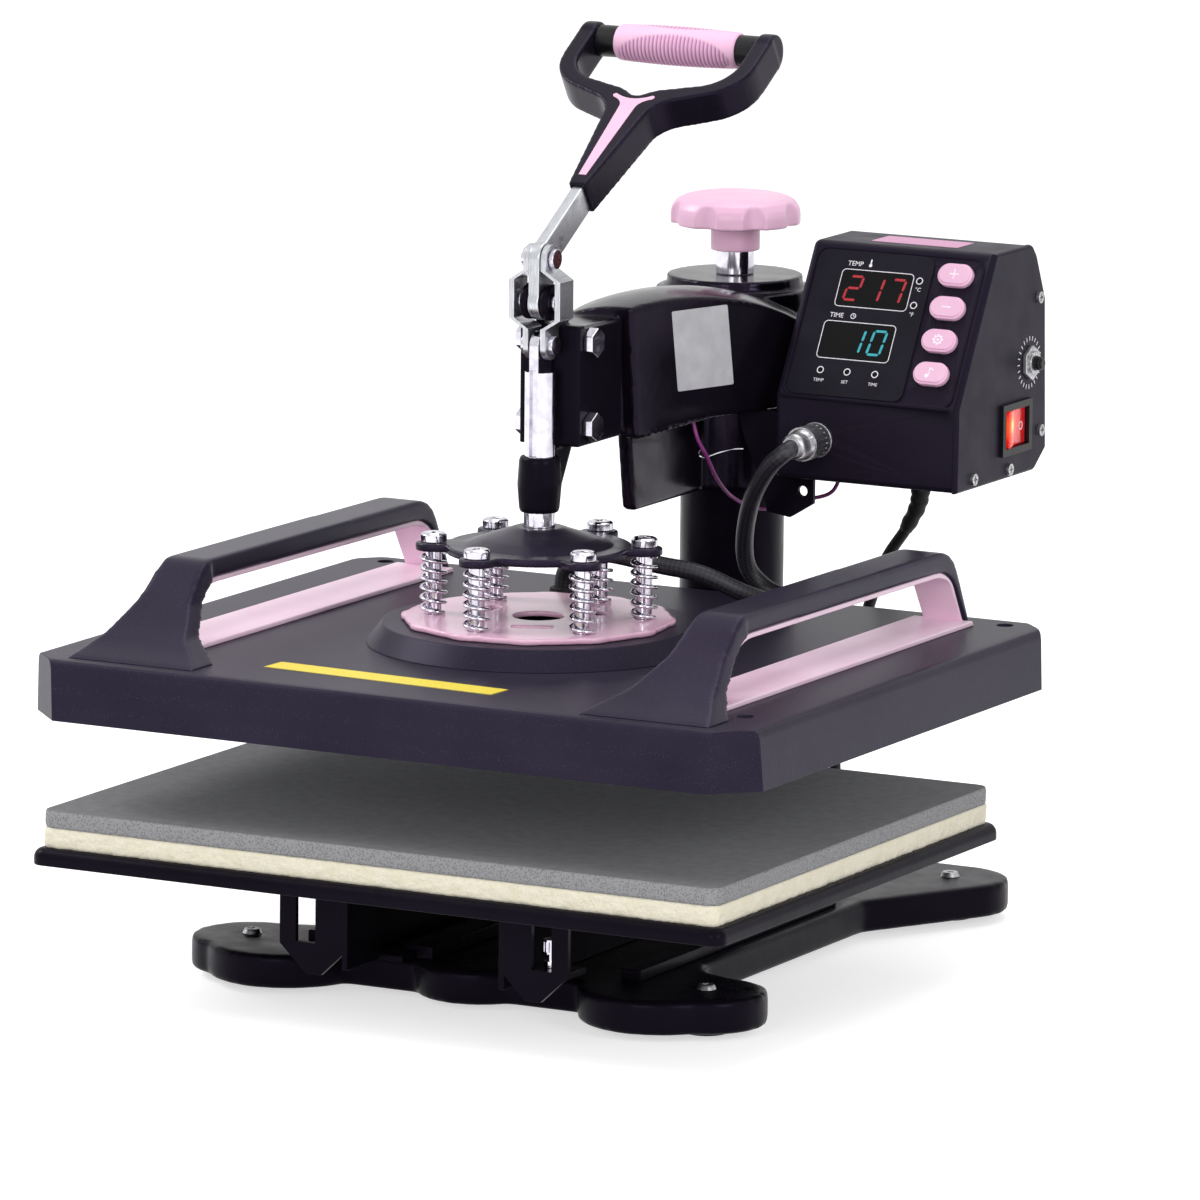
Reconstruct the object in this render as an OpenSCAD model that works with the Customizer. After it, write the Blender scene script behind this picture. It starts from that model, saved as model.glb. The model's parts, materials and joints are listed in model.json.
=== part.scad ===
// Combo heat press: a swing-away arm with a toggle lever presses a sprung heating platen
// onto a padded lower platen that pulls out on rails.
// Millimetres, +Z up, the front is -Y, the origin is the bottom centre of the footprint.

/* [Overall] */
// Width across the platen cover
overall_w = 400; // [360:1:440]
// Depth from the front of the lower plate to the back of the rear feet
overall_d = 440; // [420:1:480]

/* [Clearances] */
// Gap between flat faces of parts that move on each other
slide_gap = 0.3; // [0.2:0.05:0.6]
// Radial play of a pin or a shaft in its bore
run_fit = 0.05; // [0.02:0.01:0.1]

/* [Base] */
// Height of the rubber feet
foot_h = 4; // [3:0.5:8]
// Radius of the rubber feet
foot_r = 12; // [9:0.5:18]
// Thickness of the base casting
base_t = 17; // [14:0.5:24]
// Thickness of the base casting over its hollow
base_wall = 5; // [4:0.5:8]
// Radius of the four round feet of the casting
lobe_r = 30; // [24:1:36]
// Half spacing of the front feet
front_foot_x = 127; // [115:1:145]
// Distance of the front feet behind the front of the lower plate
front_foot_in = 108.5; // [95:0.5:125]
// Half spacing of the rear feet
rear_foot_x = 109.5; // [100:0.5:125]
// Radius of the swelling beside each front foot
swell_r = 40; // [34:1:44]
// Depth of the recess in the base's front edge
front_recess = 15; // [8:1:20]
// Half width of the waist between the feet
waist_x = 100; // [85:1:100]
// Fillet radius behind the front feet
waist_fillet = 27; // [18:1:32]
// Shank radius of the foot screws
foot_screw_r = 2.5; // [2:0.25:4]

/* [Post] */
// Outer radius of the post
post_r = 26.5; // [22:0.5:30]
// Wall of the post
post_wall = 4; // [3:0.5:6]
// Distance of the post axis in front of the back of the base
post_setback = 65; // [50:1:75]
// Height of the post above the base
post_h = 279; // [260:1:300]
// Length of the threaded plug at the top of the post
post_plug_h = 20; // [14:1:30]
// Radius of the post's foot flange
post_flange_r = 45; // [40:1:55]
// Thickness of the post's foot flange
post_flange_t = 8; // [5:0.5:12]
// Wall of the swivel sleeve that turns on the post
swivel_wall = 5.5; // [4:0.5:8]
// Length of the swivel sleeve below the top of the post
swivel_len = 66; // [50:1:80]

/* [Lower platen] */
// Height of the stands from the base to the underside of the plate's rim
stand_h = 47; // [38:1:55]
// Width of the lower plate
plate_w = 381; // [340:1:400]
// Depth of the lower plate
plate_d = 302; // [270:1:320]
// Height of the lower plate's rim
plate_t = 8.5; // [8:0.5:14]
// Sheet thickness of the lower plate
plate_skin = 3; // [2:0.5:4]
// Corner radius of the lower plate
plate_corner = 7; // [5:0.5:14]
// Inset of the pads from the plate's edge
pad_inset = 4; // [2:0.5:10]
// Thickness of the felt pad
felt_t = 10; // [6:0.5:12]
// Thickness of the silicone sponge pad
sponge_t = 8.5; // [6:0.5:12]
// Half spacing of the two stands
stand_x = 61; // [50:1:75]
// Width of a stand
stand_w = 38; // [32:1:46]
// Length of a stand along its rail
stand_len = 200; // [160:1:220]
// Distance of the stands behind the front of the lower plate
stand_in = 54; // [45:1:65]
// Sheet thickness of the stands
stand_skin = 3; // [2:0.5:4]
// Height of the lock screw's head
thumb_head_h = 7; // [5:0.5:10]
// Radius of the lock screw's head
thumb_head_r = 4.5; // [4:0.25:7]
// Shank radius of the lock screw
thumb_r = 2.5; // [2:0.25:3.5]

/* [Heating platen] */
// Open height between the upper pad and the heating plate
open_gap = 45; // [45:1:60]
// Depth of the platen cover
cover_d = 344; // [320:1:360]
// Distance of the cover's middle behind the press axis
cover_shift = 6; // [0:0.5:10]
// Height of the platen cover
cover_h = 30; // [24:1:40]
// Cut across the cover's corners
cover_cut = 21; // [10:1:30]
// Lean of the cover's sides over their height
cover_draft = 1.8; // [1:0.1:4]
// Wall of the platen cover
cover_wall = 3; // [2:0.5:5]
// Gap between the heating plate and the cover's wall at the sides
heat_gap_x = 5.2; // [3:0.1:10]
// Gap between the heating plate and the cover's wall at the front and back
heat_gap_y = 16.2; // [10:0.1:20]
// Thickness of the heating plate
heat_t = 14; // [10:1:18]
// Distance of the corner screws in from the cover's sides
corner_in_x = 23; // [20:0.5:30]
// Distance of the front corner screws behind the cover's front
corner_in_front = 46; // [40:0.5:55]
// Distance of the rear corner screws in front of the cover's back
corner_in_back = 17; // [14:0.5:20]

/* [Side handles] */
// Half spacing of the side handles
bar_x = 148; // [125:1:150]
// Drop of a handle's bar towards the back
bar_fall = 1.5; // [0:0.5:8]
// Width of a handle's bar
bar_w = 24; // [18:1:30]
// Height of a handle above the cover
bar_rise = 42; // [34:1:55]
// Depth of a handle's bar
bar_t = 10; // [8:0.5:16]
// Thickness of the coloured liner in a handle's window
liner_t = 2.5; // [1.5:0.25:4]

/* [Pressure head] */
// Distance of the press axis in front of the post axis
reach = 206; // [190:1:230]
// Radius of the collar on the cover
collar_r = 85; // [80:1:92]
// Height of the collar
collar_h = 10.3; // [6:0.1:16]
// Thickness of the spring plate
spring_plate_t = 3; // [2:0.5:5]
// Number of springs
spring_n = 6; // [4:1:8]
// Radius of the ring of springs
spring_ring_r = 52; // [45:0.5:56]
// Angle of the first spring
spring_start = 23; // [0:1:59]
// Length of the springs at rest
spring_len = 31.7; // [26:0.1:40]
// Mean radius of a spring
spring_r = 6; // [5.5:0.1:8]
// Radius of the spring wire
wire_r = 0.9; // [0.6:0.1:1.2]
// Number of turns of a spring
spring_turns = 6; // [4:1:8]
// Shank radius of the shoulder bolts
shoulder_r = 4; // [3:0.25:4.5]
// Thickness of the six-armed spider
spider_t = 4; // [3:0.5:6]
// Rise of the spider's dome
dome_h = 9; // [6:0.5:12]
// Radius of the plunger rod
plunger_r = 7.6; // [6:0.1:9]

/* [Toggle] */
// Height of the lower link pin above the spider
link_rise = 99; // [90:1:110]
// Stroke of the plunger
stroke = 43; // [36:1:43]
// Thickness of the lever
lever_t = 6; // [4:0.5:8]
// Thickness of the link strips
link_t = 3; // [2:0.25:4]
// Width of the link strips
link_w = 14; // [12:0.5:16]
// Sideways step of the links round the fixed pivot
link_step = 8; // [7.5:0.25:9]
// Radius of the toggle pins
pin_r = 3; // [2:0.25:3.5]
// Head radius of the toggle pins
pin_head_r = 5; // [4:0.25:6]
// Thickness of the pivot ears
ear_t = 4; // [3:0.25:5]

/* [Lever handle] */
// Distance from the lever pin to the middle of the grip
handle_len = 169.37; // [150:0.01:185]
// Lean of the handle above the horizontal
handle_lean = 31.7; // [25:0.1:40]
// Half width of the handle's frame
frame_half_w = 54; // [45:0.5:60]
// Thickness of the handle's frame
frame_t = 18; // [14:0.5:20]
// Width of the frame's arms
frame_arm = 9; // [8:0.5:12]
// Radius of the grip
grip_r = 10; // [9:0.25:12]
// Radius of the tube in the grip
tube_r = 6; // [4:0.25:7.5]
// Half length of the grip
grip_half = 34; // [28:0.5:40]

/* [Arm] */
// Thickness of the arm's wall
arm_wall = 6; // [4:0.5:8]
// Height of the arm's underside above the spider
arm_rise = 45; // [42:0.5:50]
// Height of the arm's ridge above its underside
arm_h = 70; // [66:0.5:82]
// Distance of the arm's left face from the middle at its front
arm_left = 17; // [16.5:0.5:22]
// Distance of the arm's right face from the middle at its front
arm_front_half = 20; // [18:0.5:24]
// Distance of the arm's right face from the middle at its hub
hub_r = 57; // [50:0.5:62]
// Radius of the arm's rounded top
crown_r = 90; // [70:1:140]
// Distance of the top's crest to the right of the middle
crest_x = 15; // [0:1:20]
// Radius of the top's curve along the arm
ridge_r = 260; // [200:5:400]
// Half width of the arm's nose
nose_half = 12.5; // [10:0.5:16]
// Thickness of the clamp bracket's cheeks
cheek_t = 4; // [3:0.5:6]
// Across-flats size of the bracket bolts
bolt_af = 13; // [10:0.5:14]

/* [Pressure knob] */
// Radius of the knob over its lobes
knob_r = 33; // [28:0.5:40]
// Number of lobes, with a flute between each two
knob_lobes = 8; // [5:1:9]
// Height of the knob's head
knob_h = 12; // [8:0.5:18]
// Height of the knob's stem
knob_stem_h = 13.5; // [10:0.5:20]
// Radius of the pressure screw
screw_r = 6; // [5:0.25:8]
// Height of the polished collar
screw_collar_h = 12; // [8:0.5:16]

/* [Control box] */
// Width of the box with its side cover
box_w = 102; // [90:1:115]
// Gap from the arm's hub to the box
box_gap = 5; // [4:0.5:10]
// Depth of the box
box_d = 101; // [90:1:115]
// Height of the box
box_h = 115; // [100:1:125]
// Height of the box's upright front
box_front_h = 42; // [36:1:50]
// Depth of the slanted front
slant_d = 41; // [34:1:50]
// Wall of the box
box_wall = 3; // [2:0.25:4]
// Distance of the post axis behind the box's front
box_ahead = 75; // [70:1:90]
// Height of the box's underside above the spider
box_rise = 20; // [14:0.5:26]
// Length of a button
button_l = 19; // [15:0.5:21]
// Height of a button
button_h = 12; // [9:0.5:14]
// Pitch of the buttons
button_pitch = 17.6; // [15:0.1:18.5]
// Travel of a button
button_travel = 1.5; // [1:0.1:2]

/* [Cords] */
// Radius of the heater cable
cable_r = 4.5; // [3.5:0.25:5.5]
// Radius of the power cord
cord_r = 3; // [2.5:0.25:3.5]
// Radius of the probe lead
lead_r = 1; // [0.75:0.25:1.5]
// Number of loops in the tied coil, half of them in each layer
coil_loops = 6; // [2:2:8]
// Outer radius of the coil
coil_r = 46; // [42:1:60]

/* [Hidden] */
$fn = 48;

// Colours
black_paint = "#17141a";
purple_paint = "#332d3d";
pink_plastic = "#f0c3dd";
steel = "#b9bbc0";
bright_steel = "#d9dbe0";
rubber_black = "#161616";
felt_cream = "#f1e8d0";
sponge_grey = "#8b8b90";
alloy = "#a9abb0";
signal_red = "#c4161c";
board_green = "#1f6b3a";
lead_magenta = "#8a2a78";

// Places along the depth
front_y = -overall_d / 2;
back_y = overall_d / 2;
front_foot_y = front_y + front_foot_in;
rear_foot_y = back_y - lobe_r;
hub_y = back_y - post_setback;
press_y = hub_y - reach;
plate_y = front_y + plate_d / 2;
stand_y = front_y + stand_in;
cover_y = press_y + cover_shift;
cover_half_w = overall_w / 2;
cover_front = cover_y - cover_d / 2;
cover_back = cover_y + cover_d / 2;
heat_w = 2 * (cover_half_w - cover_wall - cover_draft - heat_gap_x);
heat_d = cover_d - 2 * (cover_wall + cover_draft + heat_gap_y);

// Heights
base_top = foot_h + base_t;
plate_z = base_top + stand_h;
plate_top = plate_z + plate_t;
felt_top = plate_top + felt_t;
pad_top = felt_top + sponge_t;
platen_z = pad_top + open_gap;
cover_top = platen_z + cover_h;
collar_top = cover_top + collar_h;
spring_z = collar_top + spring_plate_t;
spider_z = spring_z + spring_len;
spider_top = spider_z + spider_t;
dome_top = spider_top + dome_h;
crank = stroke / 2;
pin_c_z = spider_top + link_rise;
pin_b_z = pin_c_z + crank;
pin_a_z = pin_b_z + crank;
post_top = base_top + post_h;
swivel_top = post_top + slide_gap + swivel_wall;
arm_z = spider_top + arm_rise;
arm_top = arm_z + arm_h;

// Shared radii and offsets
post_bore_r = post_r - post_wall;
swivel_bore_r = post_r + run_fit;
swivel_r = post_r + swivel_wall;
post_bolt_ring = post_r + 10.5;
post_bolt_r = 3.2;
foot_angles = [45 : 90 : 315];

// Rails and the stand flanges that run in them
rail_in = stand_x - stand_w / 2 - 24;
rail_out = rail_in + 9.7;
rail_lip = rail_out + 6.3;
flange_t = stand_skin;
flange_z = base_top + slide_gap;
flange_top = flange_z + flange_t;
rail_back = hub_y - post_flange_r - 15;
rail_front = front_foot_y - front_recess + 3;
stand_in_x = stand_x - stand_w / 2;
stand_out_x = stand_x + stand_w / 2;
plate_under = plate_top - plate_skin;
strap_z = base_top + 9;
thumb_x = stand_x + 4.5;
thumb_y = stand_y + 11;
thumb_z = strap_z + stand_skin + 7;

// Toggle half widths
link_in = lever_t / 2 + slide_gap;
link_out = link_in + link_t;
ear_in = lever_t / 2 + 2 * slide_gap;
ear_out = ear_in + ear_t;
pin_hole_r = pin_r + run_fit;
ear_r = pin_head_r + 4;
pin_head_t = 2.4;
tongue_half = 2.5;
shoulder_z = pin_c_z - 13;
guide_z = dome_top + 7;
guide_top = guide_z + 28;
guide_bore_r = plunger_r + run_fit;

// Clamp bracket places
web_front = press_y + 9;
web_back = web_front + 6;
cheek_back = web_back + 39;
cheek_half = nose_half + cheek_t;
nose_z = guide_top + 4;
nose_top = pin_c_z + 7;
bolt_y = web_back + 5;
bolt_zs = [nose_z + 9, nose_top - 7];
bolt_r = 4;
arm_front = web_back + 40;
arm_lean = 6;

// Hub of the arm
hub_tube_r = swivel_r + 8;
hub_ring_r = hub_tube_r + 4;
hub_z = post_top - swivel_len - 12;
hub_cap_z = swivel_top + 6;
hub_top = hub_cap_z + 10;
boss_top = hub_top + 6;
boss_r = hub_tube_r - 5.5;
knob_z = boss_top + slide_gap + screw_collar_h;
knob_head_z = knob_z + knob_stem_h;
knob_top = knob_head_z + knob_h;

// Control box places
box_x = hub_r + box_gap;
box_x_end = box_x + box_w;
box_cover_x = box_x_end - box_wall;
box_y = hub_y - box_ahead;
box_z = spider_top + box_rise;
slant_z = box_z + box_front_h;
slant_rise = box_h - box_front_h;
slant_len = sqrt(slant_d * slant_d + slant_rise * slant_rise);
slant_angle = atan2(slant_rise, slant_d);
panel_x = 6;
panel_w = 64;
button_x = box_w - 19;
button_v = slant_len - 13.3;
rocker_y = box_y + 64;
rocker_z = box_z + 25;
rocker_l = 26;
rocker_w = 19;
rocker_tilt = 8;
rocker_axle_x = box_x_end - 3;
breaker_y = box_y + 79.7;
breaker_z = box_z + 55.7;
breaker_r = 3.5;
side_screws = [[box_d - 11.4, box_h - 27.5], [box_d - 8, 19.7], [58, 4.5], [17.5, 5.2]];
plug_x = box_x + 24;
plug_z = box_z + 21;
plug_r = 8;
gland_x = box_x + 40;
gland_y = box_y + 85;

// Handle places, along and across the handle's own plane
handle_dir = [0, cos(handle_lean), sin(handle_lean)];
grip_y = press_y + handle_len * handle_dir[1];
grip_z = pin_a_z + handle_len * handle_dir[2];
lever_end = handle_len * 0.44;
frame_start = handle_len * 0.28;
fork_s = handle_len * 0.64;

// Handle outlines on the platen, as Y and Z
leg_front = cover_front + 9;
leg_back = cover_back - 21;
bar_top = cover_top + bar_rise;
bar_under = bar_top - bar_t;
bar_front = leg_front + 67;
window_front = leg_front + 22;
window_slope = 48;
window_back = leg_back - 5;
leg_lean = 20;

// Routes of the cords, in the order of their points
heater_end = [-37, press_y + collar_r + 9, cover_top];
heater_route = [
  [plug_x, box_y - 16, plug_z], [plug_x, box_y - 24.5, plug_z], [plug_x - 3.5, box_y - 31, plug_z - 3.5],
  [plug_x - 13, box_y - 28, plug_z - 12], [plug_x - 29, box_y - 14, plug_z - 31],
  [plug_x - 42, box_y + 4, plug_z - 54], [plug_x - 45, box_y + 14, plug_z - 71],
  [plug_x - 36, box_y + 17, plug_z - 81], [plug_x - 20, box_y + 8, plug_z - 83.5],
  [plug_x - 14, box_y - 18, plug_z - 81], [plug_x - 21, box_y - 38, plug_z - 73.5],
  [plug_x - 39, box_y - 49, plug_z - 64], [plug_x - 61, box_y - 52, plug_z - 61],
  heater_end + [31, -10, 31], heater_end + [13, -4, 27.5], heater_end + [2.5, -1, 19],
  heater_end + [0, 0, 9], heater_end - [0, 0, 1]
];
coil_x = -30;
coil_y = back_y + coil_r + cord_r + 5;
coil_pitch = 2 * cord_r + 0.8;
coil_start_z = cord_r + coil_pitch;
cord_route = [
  [gland_x, gland_y, box_z - 2], [gland_x, gland_y, box_z - 15], [gland_x - 3, gland_y + 2, box_z - 25],
  [gland_x - 12, gland_y + 7, box_z - 38], [gland_x - 26, gland_y + 13, box_z - 56],
  [gland_x - 40, gland_y + 21, box_z - 85], [gland_x - 55, gland_y + 33, box_z - 118],
  [gland_x - 72, gland_y + 50, box_z - 155],
  [coil_x + coil_r + 6, coil_y - 34, coil_start_z + 15],
  [coil_x + coil_r, coil_y, coil_start_z]
];
lead_y = hub_y - 100;
lead_in = (lead_y - arm_front - arm_wall) / (hub_y - 44 - arm_front - arm_wall);
lead_x = arm_front_half - arm_wall + (hub_r - arm_front_half) * lead_in - lead_r - 0.8;
lead_route = [
  [lead_x, lead_y, arm_z + 18], [lead_x, lead_y, arm_z + 8], [lead_x + 3, lead_y, arm_z - 4],
  [34, hub_y - 95, arm_z - 13], [33, hub_y - 80, arm_z - 28],
  [33, hub_y - 62, arm_z - 40], [38, hub_y - 42, arm_z - 48],
  [50, hub_y - 28, arm_z - 45], [box_x + 3, hub_y - 18, box_z - 16],
  [box_x + 6, hub_y - 12, box_z - 5], [box_x + 6, hub_y - 11, box_z - 0.2]
];

// Helpers for tubes
function unit(v) = v / norm(v);
function clamp_index(i, n) = max(0, min(n - 1, i));
function spline_point(p, i, t) =
  let (n = len(p))
  let (a = p[clamp_index(i - 1, n)], b = p[i], c = p[clamp_index(i + 1, n)])
  let (d = p[clamp_index(i + 2, n)])
  0.5 * ((2 * b) + (c - a) * t + (2 * a - 5 * b + 4 * c - d) * t * t
    + (3 * b - a - 3 * c + d) * t * t * t);
function spline(p, steps) = [
  for (i = [0 : len(p) - 2], k = [0 : steps - 1]) spline_point(p, i, k / steps),
  p[len(p) - 1]
];
function tangent(p, i) = unit(p[clamp_index(i + 1, len(p))] - p[clamp_index(i - 1, len(p))]);
function carried(side, t) = unit(side - t * (side * t));
function sides_along(p, start) = [
  for (i = 0, s = carried(start, tangent(p, 0)); i < len(p);
    i = i + 1, s = i < len(p) ? carried(s, tangent(p, i)) : s) s
];

// One unbroken tube of triangles along a list of points
module tube(points, radius, start, sides) {
  n = len(points);
  across = sides_along(points, start);
  rings = [
    for (i = [0 : n - 1], k = [0 : sides - 1])
      let (t = tangent(points, i), a = 360 * k / sides)
      points[i] + radius * (across[i] * cos(a) + cross(t, across[i]) * sin(a))
  ];
  walls = [
    for (i = [0 : n - 2], k = [0 : sides - 1], half = [0, 1])
      let (k2 = (k + 1) % sides, a = i * sides, b = a + sides)
      half == 0 ? [a + k, b + k, a + k2] : [a + k2, b + k, b + k2]
  ];
  start_cap = [for (k = [1 : sides - 2]) [0, k, k + 1]];
  last = (n - 1) * sides;
  end_cap = [for (k = [1 : sides - 2]) [last, last + k + 1, last + k]];
  polyhedron(points = rings, faces = concat(walls, start_cap, end_cap));
}

function helix(turns, r, z0, z1, rings) = [
  for (i = [0 : turns * rings])
    [r * cos(360 * i / rings), r * sin(360 * i / rings), z0 + (z1 - z0) * i / (turns * rings)]
];
// Spirals in on the upper layer, steps down in the half turn where it reverses, and spirals out below
function coil_point(t) =
  let (r = coil_r - coil_pitch * min(t, coil_loops - t))
  let (down = max(0, min(1, 2 * t - coil_loops + 0.5)))
  [coil_x + r * cos(360 * t), coil_y + r * sin(360 * t), coil_start_z - coil_pitch * down];
function route_length(p) = sum_steps([for (i = [1 : len(p) - 1]) norm(p[i] - p[i - 1])]);
function sum_steps(v, i = 0) = i < len(v) ? v[i] + sum_steps(v, i + 1) : 0;
// Least distance between points at least one skip apart along a route, less the tube's width
function self_gap(p, r, skip) = min([
  for (i = [0 : len(p) - 1]) for (j = [i + skip : 1 : len(p) - 1]) norm(p[i] - p[j])
]) - 2 * r;

spring_rings = 8;
coil_rings = 24;
spring_path = helix(spring_turns, spring_r, spring_z + wire_r + 0.05, spider_z - wire_r - 0.05, spring_rings);
coil_path = concat(
  [for (i = [0 : coil_loops * coil_rings]) coil_point(i / coil_rings)],
  [for (k = [1 : 6]) [coil_x + coil_r, coil_y + 9 * k, cord_r]]
);
coil_end = coil_path[len(coil_path) - 1];
heater_path = spline(heater_route, 4);
cord_path = spline(cord_route, 4);
lead_path = spline(lead_route, 3);
echo(spring_gap = self_gap(spring_path, wire_r, spring_rings / 2));
echo(coil_gap = self_gap(coil_path, cord_r, coil_rings / 2));
echo(heater_gap = self_gap(heater_path, cable_r, 12));
echo(cord_length = route_length(cord_path) + route_length(coil_path));
echo(heater_length = route_length(heater_path));

// Shared shapes
module rounded_plate(w, d, r, h) {
  linear_extrude(h) {
    square([w - 2 * r, d], center = true);
    square([w, d - 2 * r], center = true);
    for (x = [-1, 1], y = [-1, 1])
      translate([x * (w / 2 - r), y * (d / 2 - r)])
        circle(r = r);
  }
}

module along_x(x0, x1) {
  translate([x0, 0, 0])
    rotate([90, 0, 90])
      linear_extrude(x1 - x0)
        children();
}

module rod_x(x0, x1, y, z, r) {
  translate([x0, y, z])
    rotate([0, 90, 0])
      cylinder(r = r, h = x1 - x0);
}

module both_sides() {
  children();
  mirror([1, 0, 0])
    children();
}

// Base
module foot_places() {
  for (side = [-1, 1]) {
    translate([side * front_foot_x, front_foot_y, 0])
      children();
    translate([side * rear_foot_x, rear_foot_y, 0])
      children();
  }
}

module post_bolt_places() {
  for (a = foot_angles)
    translate([0, hub_y, 0])
      rotate([0, 0, a])
        translate([post_bolt_ring, 0, 0])
          children();
}

module base_plan() {
  lobe_back = front_foot_y + lobe_r;
  front_line = front_foot_y - front_recess;
  flare = 28;
  foot_places()
    circle(r = lobe_r);
  translate([-front_foot_x, front_line])
    square([2 * front_foot_x, lobe_back - front_line]);
  translate([0, front_line + 19])
    circle(r = swell_r - 8);
  translate([-rear_foot_x, rear_foot_y - lobe_r])
    square([2 * rear_foot_x, 2 * lobe_r]);
  translate([-waist_x, front_foot_y])
    square([2 * waist_x, rear_foot_y - front_foot_y]);
  both_sides() {
    translate([front_foot_x - 23, front_foot_y - 4.5])
      circle(r = swell_r);
    difference() {
      translate([waist_x - 1, lobe_back - 1])
        square([waist_fillet + 1, waist_fillet + 1]);
      translate([waist_x + waist_fillet, lobe_back + waist_fillet])
        circle(r = waist_fillet);
    }
    polygon([
      [waist_x - 1, rear_foot_y - 80],
      [rear_foot_x + lobe_r * cos(flare), rear_foot_y - lobe_r * sin(flare)],
      [rear_foot_x, rear_foot_y],
      [waist_x - 1, rear_foot_y]
    ]);
  }
}

module base_casting() {
  hollow_front = front_foot_y - front_recess + base_wall;
  hollow_back = hub_y - post_flange_r - 4;
  color(black_paint)
    difference() {
      translate([0, 0, foot_h])
        linear_extrude(base_t)
          base_plan();
      translate([-waist_x + base_wall, hollow_front, foot_h - 1])
        cube([2 * (waist_x - base_wall), hollow_back - hollow_front, base_t - base_wall + 1]);
      foot_places()
        translate([0, 0, foot_h - 1])
          cylinder(r = foot_screw_r + run_fit, h = base_t + 2);
      post_bolt_places()
        translate([0, 0, foot_h - 1])
          cylinder(r = post_bolt_r + run_fit, h = base_t + 2);
    }
}

module rubber_feet() {
  color(rubber_black)
    foot_places()
      difference() {
        cylinder(r = foot_r, h = foot_h);
        translate([0, 0, 1])
          cylinder(r = foot_screw_r + run_fit, h = foot_h);
      }
}

module base_screws() {
  color(steel) {
    foot_places() {
      translate([0, 0, 1.2])
        cylinder(r = foot_screw_r, h = base_top - 1.2);
      translate([0, 0, base_top])
        difference() {
          cylinder(r1 = 2 * foot_screw_r, r2 = 1.5 * foot_screw_r, h = 2.4);
          for (a = [0, 90])
            rotate([0, 0, a])
              translate([-2, -0.5, 1.2])
                cube([4, 1, 2]);
        }
    }
    post_bolt_places() {
      translate([0, 0, foot_h + 2])
        cylinder(r = post_bolt_r, h = base_t + post_flange_t - 2);
      translate([0, 0, base_top + post_flange_t])
        cylinder(r = 5.8, h = 4.5, $fn = 6);
    }
  }
}

module post() {
  color(black_paint)
    translate([0, hub_y, 0])
      difference() {
        union() {
          translate([0, 0, base_top])
            cylinder(r = post_flange_r, h = post_flange_t);
          translate([0, 0, base_top])
            cylinder(r = post_r, h = post_h);
        }
        translate([0, 0, base_top - 1])
          cylinder(r = post_bore_r, h = post_h - post_plug_h + 1);
        translate([0, 0, post_top - post_plug_h - 1])
          cylinder(r = screw_r + run_fit, h = post_plug_h + 2);
        translate([0, -hub_y, 0])
          post_bolt_places()
            translate([0, 0, base_top - 1])
              cylinder(r = post_bolt_r + run_fit, h = post_flange_t + 2);
      }
}

module guide_rails() {
  lip_z = flange_top + slide_gap;
  lip_t = 3.4;
  bar_in = stand_out_x + 2;
  color(black_paint)
    both_sides() {
      translate([rail_in, rail_front, base_top])
        cube([rail_out - rail_in, rail_back - rail_front, lip_z + lip_t - base_top]);
      translate([rail_out - 1, rail_front, lip_z])
        cube([rail_lip - rail_out + 1, rail_back - rail_front, lip_t]);
      translate([bar_in, rail_front + 8, base_top])
        cube([11, rail_back - rail_front - 8, 6]);
    }
}

module power_cord() {
  color(rubber_black)
    tube(cord_path, cord_r, [0, 1, 0], 8);
}

module power_coil() {
  color(rubber_black)
    tube(coil_path, cord_r, [0, 0, 1], 6);
}

module power_plug() {
  color(rubber_black)
    translate([coil_end[0], coil_end[1], 0])
      difference() {
        union() {
          translate([0, 0, cord_r])
            rotate([-90, 0, 0])
              cylinder(r = cord_r - 0.1, h = 6);
          translate([-11, 5, 0])
            cube([22, 30, 14]);
          for (x = [-6.5, 6.5])
            translate([x - 0.8, 34, 3])
              cube([1.6, 18, 6.5]);
        }
        for (x = [-13.5, 13.5], y = [12, 19, 26])
          translate([x, y, -1])
            cylinder(r = 4, h = 16);
      }
}

// Lower platen
module stand() {
  z_low = flange_z;
  window_w = 11;
  tip = 14;
  difference() {
    translate([0, stand_y + stand_skin, 0])
      rotate([90, 0, 0])
        linear_extrude(stand_skin)
          polygon([
            [stand_in_x, z_low + 10], [stand_x - 4, z_low + 10 - tip], [stand_x + 4, z_low + 10 - tip],
            [stand_out_x, z_low + 10], [stand_out_x, plate_under], [stand_in_x, plate_under]
          ]);
    translate([stand_x - 1, stand_y - 1, strap_z + stand_skin])
      cube([window_w, stand_skin + 2, plate_z - strap_z - 6]);
  }
  translate([stand_in_x, stand_y, z_low])
    cube([stand_skin, stand_len, plate_under - z_low]);
  translate([stand_in_x, stand_y, plate_under - stand_skin])
    cube([stand_w, stand_len, stand_skin]);
  translate([rail_out + slide_gap, stand_y + 30, z_low])
    cube([stand_in_x + stand_skin - rail_out - slide_gap, stand_len - 30, flange_t]);
}

module platen_stands() {
  color(black_paint)
    difference() {
      union() {
        both_sides()
          stand();
        translate([stand_in_x, stand_y, strap_z])
          cube([stand_w, 19, stand_skin]);
      }
      translate([thumb_x, thumb_y, strap_z - 1])
        cylinder(r = thumb_r + run_fit, h = stand_skin + 2);
    }
}

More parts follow.
